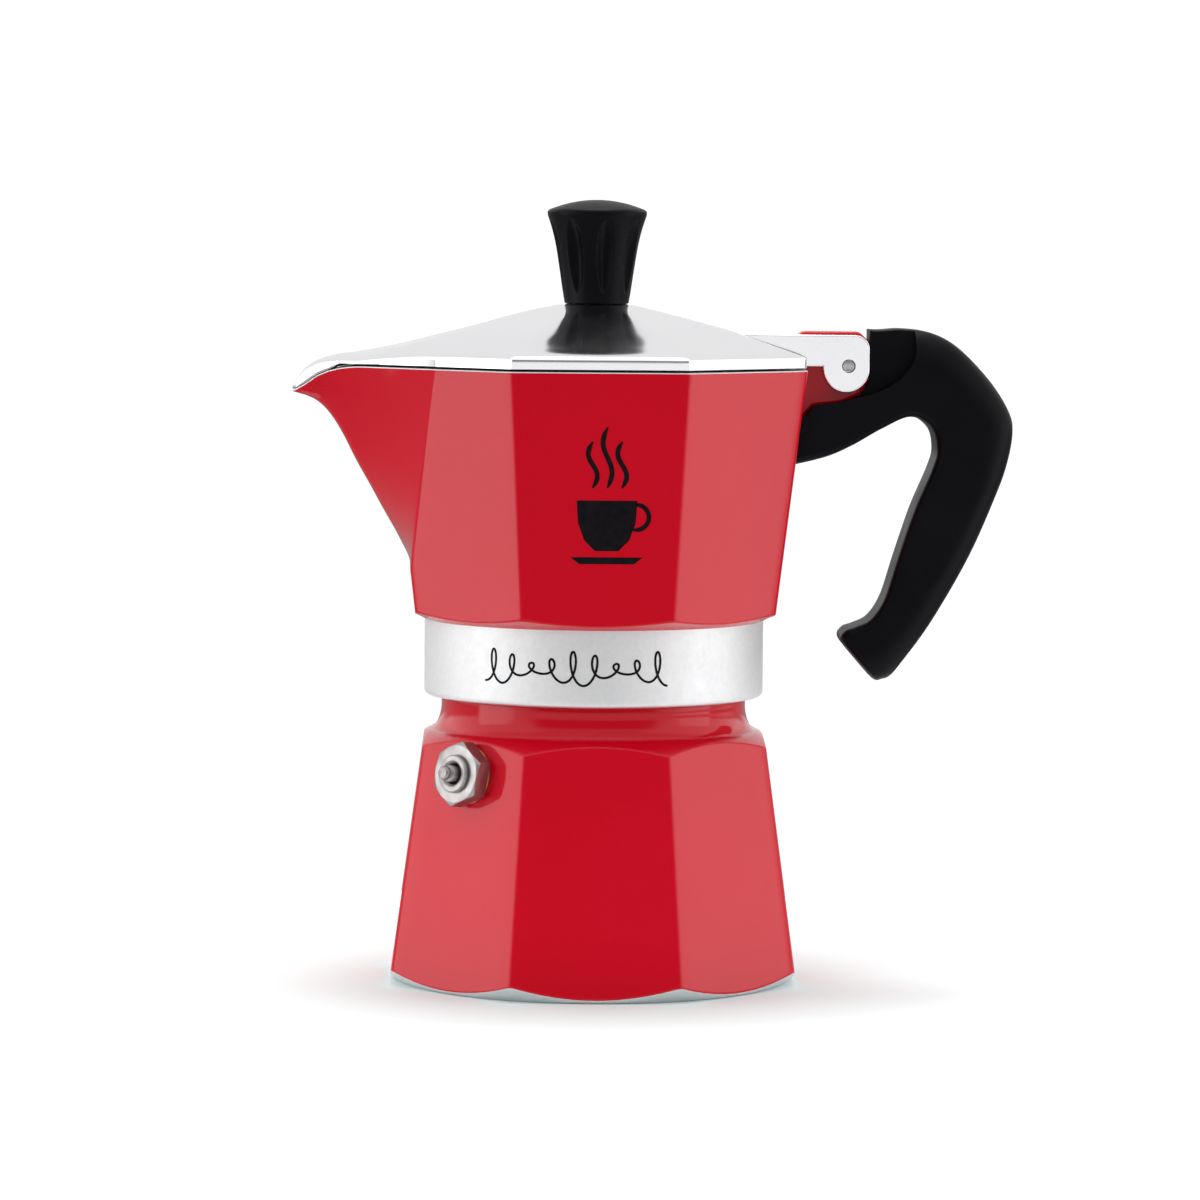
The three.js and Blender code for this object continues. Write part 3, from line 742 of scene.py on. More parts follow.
def perforated_disc(name, radius, low, high, rings, hole, body, replaces):
    """A flat disc with small round holes; rings holds (ring radius, count)."""
    centres = [(0.0, 0.0)]
    for k, (ring_radius, count) in enumerate(rings):
        for i in range(count):
            centres.append(polar(ring_radius, TAU * (i + 0.5 * (k % 2)) / count))
    rim = 96
    points = [Vector(polar(radius, a)) for a in even_angles(rim)]
    edges = [(i, (i + 1) % rim) for i in range(rim)]
    sides = 10
    for centre in centres:
        start = len(points)
        for a in even_angles(sides):
            x, y = polar(hole, a)
            points.append(Vector((centre[0] + x, centre[1] + y)))
        edges += [(start + i, start + (i + 1) % sides) for i in range(sides)]
    flat, _, faces, _, _, _ = delaunay_2d_cdt(points, edges, [], 1, 1e-5)

    def solid(face):
        middle = sum((flat[i] for i in face), Vector((0, 0))) / len(face)
        return all((middle - Vector(c)).length > hole * 0.98 for c in centres)

    kept = [f for f in faces if solid(f)]
    bm = bmesh.new()
    verts = [bm.verts.new((p.x * MM, p.y * MM, low * MM)) for p in flat]
    for face in kept:
        bm.faces.new([verts[i] for i in face])
    bmesh.ops.delete(bm, geom=[v for v in bm.verts if not v.link_faces], context="VERTS")
    lower = list(bm.faces)
    copy = bmesh.ops.extrude_face_region(bm, geom=lower)
    raised = [g for g in copy["geom"] if isinstance(g, bmesh.types.BMVert)]
    bmesh.ops.translate(bm, verts=raised, vec=(0, 0, (high - low) * MM))
    bmesh.ops.recalc_face_normals(bm, faces=bm.faces)
    mesh = bpy.data.meshes.new(name)
    bm.to_mesh(mesh)
    bm.free()
    mark_sharp(mesh, 40)
    new_object(name, mesh, body, [TURNED], replaces)


def funnel():
    profile = [(3.6, 9), (4.4, 9), (4.4, 42), (6.5, 44.5), (25.2, 48.6), (26.9, 50.4), (26.9, 70.1),
               (31.2, 70.1), (31.2, 70.9), (26.1, 70.9), (26.1, 50.8), (24.8, 49.4), (6, 45.3), (3.6, 42.6)]
    mesh = turned_mesh("funnel_basket", profile, 128, cut=0.38, joined=True)
    new_object("funnel_basket", mesh, "funnel", [TURNED], ["funnel"])
    rings = [(3.4 * k, 6 * k) for k in range(1, 8)]
    perforated_disc("funnel_sieve", 25.8, 51.0, 51.7, rings, 0.55, "funnel",
                    ["funnel_screen"])


def gasket():
    profile = [(26.4, 71.2), (32.4, 71.2), (32.4, 74.4), (26.4, 74.4)]
    mesh = turned_mesh("sealing_ring", profile, 128, cut=0.7, joined=True)
    new_object("sealing_ring", mesh, "gasket", [SILICONE], ["gasket"])
    rings = [(3.0 * k, 6 * k) for k in range(1, 9)]
    perforated_disc("filter_disc", 29.3, 74.7, 75.5, rings, 0.45, "gasket",
                    ["filter_plate"])


# ---- Collector ----

def jug_apothem(height):
    return JUG_APOTHEM + JUG_TAPER * (max(height, 76) - 80)


def keel(height):
    return max(table_value(KEEL, height), jug_apothem(height))


def lip(x):
    """Height of the rim, which curves down along the spout."""
    return table_value(LIP, -x)


def jug_outline(height, inset=0.0):
    apothem = jug_apothem(height) - inset
    corner = apothem / math.cos(EIGHTH)
    rise = clamp((height - SPOUT_START) / (RIM - SPOUT_START))
    root = math.radians(mix(SPOUT_START_ANGLE, SPOUT_RIM_ANGLE, rise))
    reach = apothem / math.cos(math.pi / 4 - root)
    join = (-reach * math.cos(root), reach * math.sin(root))
    tip = max(table_value(SPOUT_WALL, height), jug_apothem(height))
    beak = keel(height) - tip
    tip = max(tip - inset * 0.85, apothem)
    flare = clamp((tip - apothem) / 20)
    cut = mix(1.5, 5.0 - min(inset, JUG_WALL) * 0.8, flare)
    lean = math.atan2(join[1], max(tip + join[0], 0.01))
    sharp = tip + cut * math.cos(lean) / 2 * clamp(flare * 4)
    corners = [polar(corner, EIGHTH * k) for k in (-1, 1, 3, 5)]
    corners += [join, (-sharp, 0.0), (join[0], -join[1])]
    corners += [polar(corner, EIGHTH * k) for k in (11, 13)]
    cuts = [0.8, 0.8, 0.8, 0.8, 0.7, cut, 0.7, 0.8, 0.8]
    hollow = SPOUT_HOLLOW * smooth_step(100, 118, height)
    return [shaped_spout(point, join, tip, hollow, beak) for point in rounded(corners, cuts, 6, 12)]


def shaped_spout(point, join, tip, hollow, beak):
    """A point of the spout's side moved inwards next to the facet, which makes the side hollow there, and
    drawn forwards near the tip by up to beak."""
    x, y = point
    if x > join[0] or tip + join[0] < 1:
        return point
    chord = math.hypot(tip + join[0], join[1])
    along = clamp((join[0] - x) / (join[0] + tip))
    shift = 4 * hollow * chord * along * (1 - along)
    reach = clamp((abs(y) - 0.2) / 3)
    y -= math.copysign(shift * reach * (tip + join[0]) / chord, y)
    return (x - beak * along ** 6, y)


def jug_shoulder(height):
    """Radius of the turned step between collar and jug."""
    if height < 77.4:
        return mix(COLLAR_RADIUS, 37.7, (height - COLLAR_TOP) / 0.9)
    return mix(37.7, 41.0, (height - 77.4) / 1.2)


JUG_PLANS = {}


def column_point(index, height, inset=0.0):
    """Where one column of the jug's outline is at a height; outlines are kept for the next call."""
    key = (round(height, 4), inset)
    if key not in JUG_PLANS:
        JUG_PLANS[key] = jug_outline(height, inset)
    return JUG_PLANS[key][index]


def jug_heights(inset=0.0):
    """For each column, the height where it meets the rim."""
    columns = range(len(jug_outline(90)))
    return [bisect(lambda z: z - lip(column_point(i, z, inset)[0]), 112.0, 131.5) for i in columns]


def collector_rings():
    """Up the collar and the jug's outside, over the rim, down the inside and down the collar's bore; also
    the rows where the paint starts and ends."""
    base = jug_outline(80.0)
    count = len(base)
    angles = [math.atan2(y, x) for x, y in base]
    outer_top = jug_heights()
    inner_top = jug_heights(JUG_WALL)
    steps = []
    for i in range(count):
        steps.append(bisect(lambda z: jug_shoulder(z) - math.hypot(*column_point(i, z)), 76.6, 81))

    def add_wall(heights):
        ring = []
        for i, height in enumerate(heights):
            x, y = column_point(i, height)
            scale = smooth_min(1.0, jug_shoulder(height) / math.hypot(x, y), 0.006)
            ring.append((x * scale, y * scale, height))
        rings.append(ring)

    collar = soften([
        (33.2, COLLAR_BOTTOM + 0.4), (33.6, COLLAR_BOTTOM), (35.3, COLLAR_BOTTOM),
        (COLLAR_RADIUS, COLLAR_BOTTOM + 0.6), (COLLAR_RADIUS, COLLAR_TOP - 4),
        (COLLAR_RADIUS, COLLAR_TOP - 0.3), (COLLAR_RADIUS, COLLAR_TOP)], 0.7, 3)
    rings = circle_rings(collar, angles)
    paint = len(rings) - 1
    for share in (0.12, 0.35, 0.6, 0.8, 0.92, 1.0, 1.1, 1.25):
        add_wall([mix(COLLAR_TOP, step, share) for step in steps])
    rows = 64
    lowest = [mix(COLLAR_TOP, step, 1.25) for step in steps]
    for k in range(1, rows + 1):
        add_wall([mix(low, top - 0.22, k / rows) for low, top in zip(lowest, outer_top)])
    rim = len(rings) - 1
    add_wall([t - 0.14 for t in outer_top])
    outer = [(*column_point(i, t), t) for i, t in enumerate(outer_top)]
    inner = [(*column_point(i, t, JUG_WALL), t) for i, t in enumerate(inner_top)]

    def across(share, drop):
        rings.append([
            tuple(Vector(a).lerp(Vector(b), share) - Vector((0, 0, drop))) for a, b in zip(outer, inner)
        ])

    for share, drop in ((0.03, 0.07), (0.1, 0.0), (0.35, 0.0), (0.65, 0.0), (0.9, 0.0), (0.98, 0.1)):
        across(share, drop)
    for k in range(1, 40):
        heights = [mix(t - 0.4, 85.5, k / 39) for t in inner_top]
        rings.append([(*column_point(i, h, JUG_WALL), h) for i, h in enumerate(heights)])
    foot = [column_point(i, 85.5, JUG_WALL) for i in range(count)]
    for k in range(1, 9):
        t = math.radians(90 * k / 8)
        shrink = 1 - 0.12 * (1 - math.cos(t))
        height = 85.5 - 4.7 * math.sin(t)
        rings.append([(x * shrink, y * shrink, height) for x, y in foot])
    for share in (0.25, 0.5, 0.75, 1.0):
        ring = []
        for (x, y), angle in zip(foot, angles):
            cx, cy = polar(9.4, angle)
            ring.append((mix(x * 0.88, cx, share), mix(y * 0.88, cy, share), mix(80.8, JUG_FLOOR, share)))
        rings.append(ring)
    bore = [(6.8, 80.6), (6.6, 80.4), (6.6, 78.8), (6.8, 78.6), (18, 77.4), (26.6, 76.1), (27.2, 75.85),
            (29.4, 75.8), (29.6, 75.6), (29.6, 74.85), (29.75, SEAT), (32.5, SEAT), (32.7, 74.5),
            (32.95, 73.6), (32.95, 71.5)]
    rings += circle_rings(bore, angles)
    rings += threaded_rings(angles, COLLAR_BORE, 71.0, COLLAR_BOTTOM + 0.8, 63.6, 73.0, -0.55,
                            THREAD_LEAD / 2)
    rings.append(circle_ring(COLLAR_BORE, COLLAR_BOTTOM + 0.5, angles))
    return rings, paint, rim


LUG_OUTLINE = [(41.6, 116), (43.2, 118.2), (44.1, 120.1), (45.8, 122), (51.7, 122.7), (55.6, 124.4),
               (57.4, 127.5), (57.4, 135.8), (55.4, 137.8), (43.4, 137.8), (42.4, 136.8), (41.9, 128)]
TONGUE_OUTLINE = [(42.3, 117.4), (50, 118.4), (57.5, 121), (64, 124.5), (64, 129), (55, 129), (50, 123),
                  (42.3, 123)]


def grown(outline, margin):
    """The outline moved out by about margin from its middle."""
    middle = Vector((sum(x for x, _ in outline), sum(z for _, z in outline))) / len(outline)
    points = []
    for x, z in outline:
        away = Vector((x, z)) - middle
        points.append(tuple(Vector((x, z)) + away.normalized() * margin))
    return points


def collector():
    rings, paint, rim = collector_rings()

    def material(row):
        return 1 if paint <= row < rim else 0

    mesh = ring_mesh("collector_jug", rings, joined=True, row_material=material, sharp=50)
    new_object("collector_jug", mesh, "collector", [TURNED, RED], ["collector"])

    pin_hole = along_y(PIN_RADIUS + 0.12, -12, 12, HINGE.x, HINGE.z)
    lug = slab_mesh("hinge_casting", LUG_OUTLINE, -LUG_HALF, LUG_HALF, bevel=0.7, segments=4)
    lug = cut_mesh(lug, [pin_hole])
    new_object("hinge_casting", lug, "collector", [RED])
    tongue = slab_mesh("handle_tongue", TONGUE_OUTLINE, -3.5, 3.5, bevel=0.3)
    new_object("handle_tongue", tongue, "collector", [RED])


def brew_column():
    profile = [(5.0, 76.9), (6.3, 76.9), (6.3, 80.7), (8.4, 80.7), (8.1, 82), (6.3, 86), (4.9, 112),
               (4.7, 115.4), (4.2, 117.2), (2.9, 118.6), (0.02, 119), (0.02, 116.4), (2.0, 115.6),
               (3.1, 114), (3.3, 109), (5.0, 80)]
    outside = soften(profile[:11], 1.0, 4)
    inside = soften(profile[11:] + profile[:1], 0.6, 3)
    mesh = ring_mesh("column_tube", circle_rings(outside + inside[:-1], even_angles(72)), joined=True)
    port = slab_mesh("port", arc((0, 110.6), 1.6, 180, 360, 10) + arc((0, 112.2), 1.6, 0, 180, 10), -9, 9,
                     bevel=0)
    place(port, Matrix.Rotation(math.pi / 2, 4, "Z"))
    mesh = cut_mesh(mesh, [port])
    new_object("column_tube", mesh, "collector", [CAST], ["brew_column"])


def hinge_pin():
    mesh = along_y(PIN_RADIUS, -EAR_OUTER + 0.15, EAR_OUTER - 0.15, HINGE.x, HINGE.z, 40, "hinge_rod")
    new_object("hinge_rod", mesh, "collector", [STEEL], ["hinge_pin"])


# ---- Printed marks: a plain cup on the front facet and a looped line round the collar ----

def stroke(points, width):
    """Outline of a line with round-ish ends drawn along points."""
    left, right = [], []
    for i, point in enumerate(points):
        before = Vector(points[max(i - 1, 0)])
        after = Vector(points[min(i + 1, len(points) - 1)])
        along = (after - before).normalized()
        share = i / (len(points) - 1)
        half = width / 2 * min(1.0, 0.35 + 5 * min(share, 1 - share))
        side = Vector((-along.y, along.x)) * half
        left.append(tuple(Vector(point) + side))
        right.append(tuple(Vector(point) - side))
    return left + list(reversed(right))


def cup_outlines():
    """Bowl, saucer, handle and three lines of steam, in X and Z."""
    bowl = [(-6.2, 103.6), (-5.9, 99.0), (-4.6, 95.4), (-2.4, 93.2), (2.4, 93.2), (4.6, 95.4), (5.9, 99.0),
            (6.2, 103.6)]
    saucer = [(-7.4, 91.9), (-5.6, 90.5), (5.6, 90.5), (7.4, 91.9)]
    cup_handle = stroke(arc((6.0, 100.2), 2.6, 100, -110, 20), 0.95)
    shapes = [bowl, saucer, cup_handle]
    for middle in (-3.0, 0.0, 3.0):
        steam = []
        for k in range(25):
            t = k / 24
            steam.append((middle + 0.95 * math.sin(TAU * t), 106.2 + (12.5 - abs(middle)) * t))
        shapes.append(stroke(steam, 1.0))
    return shapes


def emblem():
    """The cup, leaning with the jug's front facet."""
    lean = Matrix.Identity(4)
    lean[1][2] = -JUG_TAPER
    set_back = Matrix.Translation((1.6 * MM, -(JUG_APOTHEM - JUG_TAPER * 80) * MM, 0))
    for index, outline in enumerate(cup_outlines()):
        name = "emblem_%d" % index
        mesh = place(slab_mesh(name, outline, -0.05, 0.5, bevel=0), set_back @ lean)
        new_object(name, mesh, "collector", [INK])


def collar_line():
    """A thin line of loops printed on the collar."""
    steps, loops = 900, 9
    path = []
    for k in range(steps + 1):
        t = k / steps
        turn = TAU * loops * t
        tall = 2.3 + 1.3 * math.sin(TAU * 2.2 * t + 0.6)
        along = mix(-25.0, 15.0, t) + 1.5 * math.sin(turn)
        path.append((along, 68.6 - tall * math.cos(turn)))
    rings = []
    for i, (along, height) in enumerate(path):
        before, after = path[max(i - 1, 0)], path[min(i + 1, steps)]
        ahead = Vector((after[0] - before[0], after[1] - before[1])).normalized()
        ring = []
        for side, radius in ((-0.24, 35.8), (0.24, 35.8), (0.24, 35.98), (-0.24, 35.98)):
            x, z = along - ahead.y * side, height + ahead.x * side
            ring.append((*polar(radius, x / COLLAR_RADIUS - math.pi / 2), z))
        rings.append(ring)
    mesh = ring_mesh("collar_ornament", rings, sharp=50)
    new_object("collar_ornament", mesh, "collector", [INK])


# ---- Handle ----

INNER_EDGE = [(38, 108.9), (48, 111.3), (54, 113.9), (60.1, 117.4), (66.2, 120.0), (70.7, 117.6),
              (71.9, 113.2), (70.9, 109), (67.3, 100.4), (63.9, 90.2), (61.2, 81.6), (58.4, 77.2),
              (55.4, 75.6), (53.4, 74.9), (52.3, 73.9)]
OUTER_EDGE = [(46, 140.5), (57.5, 138.3), (64.3, 138.5), (70.8, 137.6), (76.6, 134.4), (83.2, 127.6),
              (87.3, 121.2), (88.2, 116.8), (87.2, 110.5), (84.9, 103.6), (79.2, 90.3), (71.5, 76.6),
              (65.0, 67.5), (62.6, 64.8), (60.7, 64.1)]

SCREW_PLACE = Matrix.Translation((50.5 * MM, 0, 0))


def spline(points, t):
    """A point on a smooth curve through points, t from 0 to 1."""
    span = t * (len(points) - 1)
    i = min(int(span), len(points) - 2)
    u = span - i
    p1, p2 = Vector(points[i]), Vector(points[i + 1])
    p0 = Vector(points[i - 1]) if i else p1 * 2 - p2
    p3 = Vector(points[i + 2]) if i + 2 < len(points) else p2 * 2 - p1
    return 0.5 * (2 * p1 + (p2 - p0) * u + (2 * p0 - 5 * p1 + 4 * p2 - p3) * u * u
                  + (3 * p1 - p0 - 3 * p2 + p3) * u ** 3)


def handle_section(width, half, inner_round, outer_round, count=12):
    """Half outline of a cross-section, from the inner edge to the outer one: (across, thickness)."""
    points = []
    for k in range(count + 1):
        t = math.radians(90 * k / count)
        points.append((inner_round * (1 - math.cos(t)), half - inner_round + inner_round * math.sin(t)))
    flat = 6
    drop = half * 0.62
    for k in range(1, flat):
        points.append((mix(inner_round, width - outer_round, k / flat), half))
    for k in range(count + 1):
        t = math.radians(90 * k / count)
        points.append((width - outer_round + outer_round * math.sin(t), half - drop * (1 - math.cos(t))))
    return points


def handle_block():
    steps = 110
    rings = []
    for k in range(steps + 1):
        t = k / steps
        inner = spline(INNER_EDGE, t)
        outer = spline(OUTER_EDGE, t)
        across = outer - inner
        width = across.length
        direction = across.normalized()
        half = mix(9.0, 8.3, smooth_step(0.3, 0.9, t))
        inner_round = min(1.9, width * 0.25)
        outer_round = min(8.5, width * 0.52)
        section = handle_section(width, half, inner_round, outer_round)
        front = [(inner + direction * a, -h) for a, h in section]
        back = [(inner + direction * a, h) for a, h in reversed(section)]
        rings.append([(p.x, y, p.y) for p, y in front + back])
    last = rings[-1]
    middle = sum((Vector(p) for p in last), Vector()) / len(last)
    forward = (Vector(rings[-1][0]) - Vector(rings[-4][0])).normalized()
    for share, push in ((0.985, 0.3), (0.95, 0.65), (0.89, 0.95), (0.8, 1.15), (0.66, 1.25), (0.35, 1.3)):
        rings.append([tuple(middle + (Vector(p) - middle) * share + forward * push) for p in last])
    return ring_mesh("handle_block", rings, sharp=60)


def jug_cutter(gap):
    """The jug's outside as a block, a little larger."""
    rings = []
    for k in range(24):
        height = mix(90, 131, k / 23)
        plan = rounded(octagon(jug_apothem(height) + gap), [0.8] * 8, 3, 2)
        rings.append([(x, y, height) for x, y in plan])
    return ring_mesh("jug_cutter", rings)


def relief_outline():
    """Side view of the hollow beside the handle's top where the lid's ears swing."""
    curve = bend(Vector((58.8, 124.9)), Vector((67.3, 128.6)), Vector((67.3, 134.6)), 12)
    return [(30, 123.4), (53, 123.4), *curve, (66.8, 145), (30, 145)]


def handle():
    over_lug = [(30, 122.9), (53, 122.9), (57.6, 128), (57.6, 160), (30, 160)]
    corner = [(30, 120), (44.5, 120), (46, 122.4), (52, 123.1), (30, 150)]
    screw = [(0, 100), (3.3, 100), (3.3, 115.9), (1.8, 115.9), (1.8, 130), (0, 130)]
    slabs = (
        ("lug_space", grown(LUG_OUTLINE, 0.2), -LUG_HALF - 0.12, LUG_HALF + 0.12),
        ("tongue_space", grown(TONGUE_OUTLINE, 0.3), -3.7, 3.7),
        ("over_lug", over_lug, -6, 6),
        ("corner_space", corner, -20, 20),
        ("relief_front", relief_outline(), -20, -LUG_HALF),
        ("relief_back", relief_outline(), LUG_HALF, 20),
    )
    cutters = [jug_cutter(0.12)]
    cutters += [slab_mesh(name, outline, low, high, bevel=0) for name, outline, low, high in slabs]
    cutters.append(place(turned_mesh("screw_space", screw, 40, cut=0.05), SCREW_PLACE))
    mesh = cut_mesh(handle_block(), cutters, sharp=38)
    mesh.materials.clear()
    new_object("handle_grip", mesh, "collector", [BLACK], ["handle"])


def handle_screw():
    profile = [(0, 113.9), (2.2, 113.9), (3.0, 114.5), (3.0, 115.6), (1.5, 115.6), (1.5, 121.5),
               (1.0, 122.2), (0, 122.2)]
    mesh = turned_mesh("grip_screw", profile, 48, cut=0.2)
    slot = slab_mesh("slot", [(-4, 113), (4, 113), (4, 114.6), (-4, 114.6)], -0.35, 0.35, bevel=0)
    mesh = place(cut_mesh(mesh, [slot]), SCREW_PLACE)
    new_object("grip_screw", mesh, "collector", [STEEL], ["handle_screw"])


# ---- Lid ----

def roof_height(x, y):
    """Height of the lid's top over a point."""
    heights = []
    for k in range(8):
        nx, ny = polar(1, 2 * EIGHTH * k)
        reach = max(x * nx + y * ny, 0.0)
        table = BEAK_RIDGE if k == 4 else LID_ROOF
        heights.append(table_value(table, reach))
    heights.sort()
    low = smooth_min(heights[0], heights[1], 0.35)
    share = clamp(abs(y) / max(beak_half_width(x), 0.6))
    return low - table_value(BEAK_DROP, -x) * share ** 1.6


LID_PLANS = {}


def beak_half_width(x):
    """Half of the lid's width over the spout."""
    root = math.radians(SPOUT_RIM_ANGLE)
    reach = (jug_apothem(RIM) - LID_INSET) / math.cos(math.pi / 4 - root)
    join = (-reach * math.cos(root), reach * math.sin(root))
    tip = -65.2
    return join[1] * clamp((x - tip) / (join[0] - tip))


def lid_outline(inset):
    """Plan of the lid, which follows the jug's rim down along the spout."""
    if inset not in LID_PLANS:
        gap = LID_INSET + inset
        LID_PLANS[inset] = [column_point(i, t, gap) for i, t in enumerate(jug_heights(gap))]
    return LID_PLANS[inset]


def lid_underside(x):
    """Height of the lid's lower edge."""
    if x > -55.0:
        return LID_BOTTOM
    return min(LID_BOTTOM, lip(x) + 0.3)


def lid_rings():
    edge = lid_outline(0.0)
    angles = [math.atan2(y, x) for x, y in edge]
    rings = []

    def add_roof(share, sink=0.0):
        ring = []
        for (x, y), angle in zip(edge, angles):
            cx, cy = polar(7.2, angle)
            px, py = mix(cx, x, share), mix(cy, y, share)
            ring.append((px, py, roof_height(px, py) - sink))
        rings.append(ring)

    seat = [(2.3, 143.0), (2.5, 143.15), (6.3, 143.15), (6.75, 143.05), (6.95, 142.95)]
    rings += circle_rings(seat, angles)
    rows = 40
    for k in range(1, rows):
        add_roof(k / rows)
    add_roof(0.988)
    add_roof(0.996, 0.08)
    edge_top = []
    for x, y in edge:
        top = max(roof_height(x, y) - 0.35, lid_underside(x) + 0.12)
        edge_top.append((x, y, top))
    rings.append([(x * 0.9995, y * 0.9995, top + 0.14) for x, y, top in edge_top])
    rings.append(edge_top)
    lower = [(x, y, min(lid_underside(x) + 0.1, top - 0.03)) for x, y, top in edge_top]
    for share in (0.35, 0.7, 1.0):
        rings.append([tuple(Vector(a).lerp(Vector(b), share)) for a, b in zip(edge_top, lower)])
    inner = lid_outline(LID_WALL)
    bottoms = [lid_underside(x) for x, _ in edge]
    for share in (0.06, 0.94):
        rings.append([(mix(x, ix, share), mix(y, iy, share), b)
                      for (x, y), (ix, iy), b in zip(edge, inner, bottoms)])
    inner_top = []
    for (x, y), b in zip(inner, bottoms):
        inner_top.append((x, y, max(roof_height(x, y) - LID_WALL, b + 0.05)))
    rings.append([(x, y, mix(b, top, 0.5)) for (x, y, top), b in zip(inner_top, bottoms)])
    rings.append(inner_top)
    for k in range(1, 25):
        share = 1 - k / 24
        ring = []
        for (x, y, top), angle in zip(inner_top, angles):
            cx, cy = polar(7.4, angle)
            px, py = mix(cx, x, share), mix(cy, y, share)
            sunk = roof_height(px, py) - LID_WALL
            ring.append((px, py, max(sunk, mix(sunk, top, clamp((share - 0.9) * 10)))))
        rings.append(ring)
    rings += circle_rings([(6.9, 139.2), (6.6, 139.0), (2.6, 139.0), (2.3, 139.2)], angles)
    return rings


def ear_outline():
    points = [(37.6, 131.4), (44.4, 130.5), (47.6, 130.5)]
    points += arc((52.5, 130.0), 4.9, 180, 360, 24)
    points += arc((54.4, 134.1), 3.0, 0, 90, 10)
    points += [(29.8, 137.15), (29.8, 136.2), (37.6, 133.4)]
    return points


def lid():
    mesh = ring_mesh("lid_shell", lid_rings(), joined=True, sharp=45)
    room = [(40.3, 120), (60, 120), (60, 150), (40.3, 150)]
    notch = slab_mesh("notch", room, -EAR_INNER, EAR_INNER, bevel=0)
    mesh = cut_mesh(mesh, [notch], sharp=45)
    mesh.materials.clear()
    new_object("lid_shell", mesh, "lid", [POLISHED], ["lid"])
    for side, low, high in (("front", -EAR_OUTER, -EAR_INNER), ("back", EAR_INNER, EAR_OUTER)):
        name = "lid_ear_" + side
        ear = slab_mesh(name, ear_outline(), low, high, bevel=0.25)
        hole = along_y(PIN_RADIUS + 0.18, -12, 12, HINGE.x, HINGE.z)
        ear = cut_mesh(ear, [hole])
        ear.materials.clear()
        new_object(name, ear, "lid", [POLISHED])


# ---- Knob ----

KNOB_SIDE = [(KNOB_SEAT, 6.75), (145.5, 7.15), (150.2, 7.85), (154.9, 8.6), (157.3, 9.1), (159.0, 9.55),
             (160.6, 10.05), (161.8, 10.45), (162.4, 10.6)]


KNOB_CROWN = 163.05
FLUTE_MIDDLE = 153.2
FLUTE_HALF = 7.7
FLUTE_DEPTH = 1.45
FLUTE_TURN = 79


def flute(angle, height):
    """Depth of the knob's eight hollows, each a tall oval."""
    along = (height - FLUTE_MIDDLE) / FLUTE_HALF
    if abs(along) >= 1:
        return 0.0
    offset = (math.degrees(angle) + FLUTE_TURN) % 45
    offset = min(offset, 45 - offset)
    half = 13.2 * math.sqrt(1 - along * along)
    if offset >= half:
        return 0.0
    return FLUTE_DEPTH * (1 - along * along) ** 0.7 * (1 - (offset / half) ** 2)


def knob():
    angles = even_angles(320)
    rings = circle_rings([(3.7, 153.6), (3.7, 143.6), (3.9, KNOB_SEAT), (6.5, KNOB_SEAT)], angles)
    for k in range(97):
        height = mix(143.35, 161.9, k / 96)
        radius = table_value(KNOB_SIDE, height)
        rings.append([(*polar(radius - flute(a, height), a), height) for a in angles])
    shoulder = [(10.5, 162.25), (10.52, 162.5), (10.4, 162.75), (10.05, KNOB_CROWN)]
    rings += circle_rings(shoulder, angles)
    for k in range(1, 15):
        share = 1 - k / 15
        rings.append(circle_ring(10.05 * share, KNOB_CROWN + 2.05 * (1 - share ** 2), angles))
    mesh = ring_mesh("knob_body", rings, sharp=28)
    new_object("knob_body", mesh, "lid", [BLACK], ["knob"])


def knob_fastening():
    profile = [(0, 137.4), (2.6, 137.4), (3.6, 138.1), (3.6, 138.6), (1.9, 138.6), (1.9, 150), (1.4, 150.6),
               (0, 150.6)]
    screw = turned_mesh("knob_bolt", profile, 48, cut=0.2)
    slot = slab_mesh("slot", [(-4, 137), (4, 137), (4, 138), (-4, 138)], -0.4, 0.4, bevel=0)
    screw = cut_mesh(screw, [slot])
    new_object("knob_bolt", screw, "lid", [STEEL], ["knob_screw"])
    profile = [(2.2, 143.7), (3.4, 143.7), (3.4, 153.4), (2.2, 153.4)]
    insert = turned_mesh("knob_nut", profile, 48, cut=0.2, joined=True)
    new_object("knob_nut", insert, "lid", [BRASS], ["knob_insert"])


# ---- Stage ----

def floor():
    """A disc of pale paper that glows more towards its edge, where it fades into the white."""
    bpy.ops.mesh.primitive_circle_add(vertices=128, radius=0.15, fill_type="NGON")
    disc = bpy.context.object
    disc.name = "floor"
    paper = Surface("paper", (0.78, 0.88, 0.88), 0.9, Specular_IOR_Level=0.1,
                    Emission_Color=(1, 0.9, 0.9, 1))
    paper.vary_color(paper.noise(8, 2), (0.80, 0.875, 0.875), (0.81, 0.885, 0.885))
    length = paper.node("ShaderNodeVectorMath", operation="LENGTH")
    paper.links.new(paper.place, length.inputs[0])
    glow = paper.spread(length.outputs["Value"], 0.0, 0.35, (0.05, 0.12))
    paper.links.new(glow, paper.shader.inputs["Emission Strength"])
    disc.data.materials.append(paper.material)


LEFT_GLOW = 3.0
RIGHT_GLOW = 2.6
ZENITH_GLOW = 1.35
SKY = 0.86
GROUND = 0.95
BACK_GROUND = 0.3
FLANK = 1.45
SPOUT_SHADE = 0.35
FRONT_SHADE = 0.12
FRONT_STRIP = 1.2
LID_STRIP = 0.95
RIGHT_EDGE = 1.0


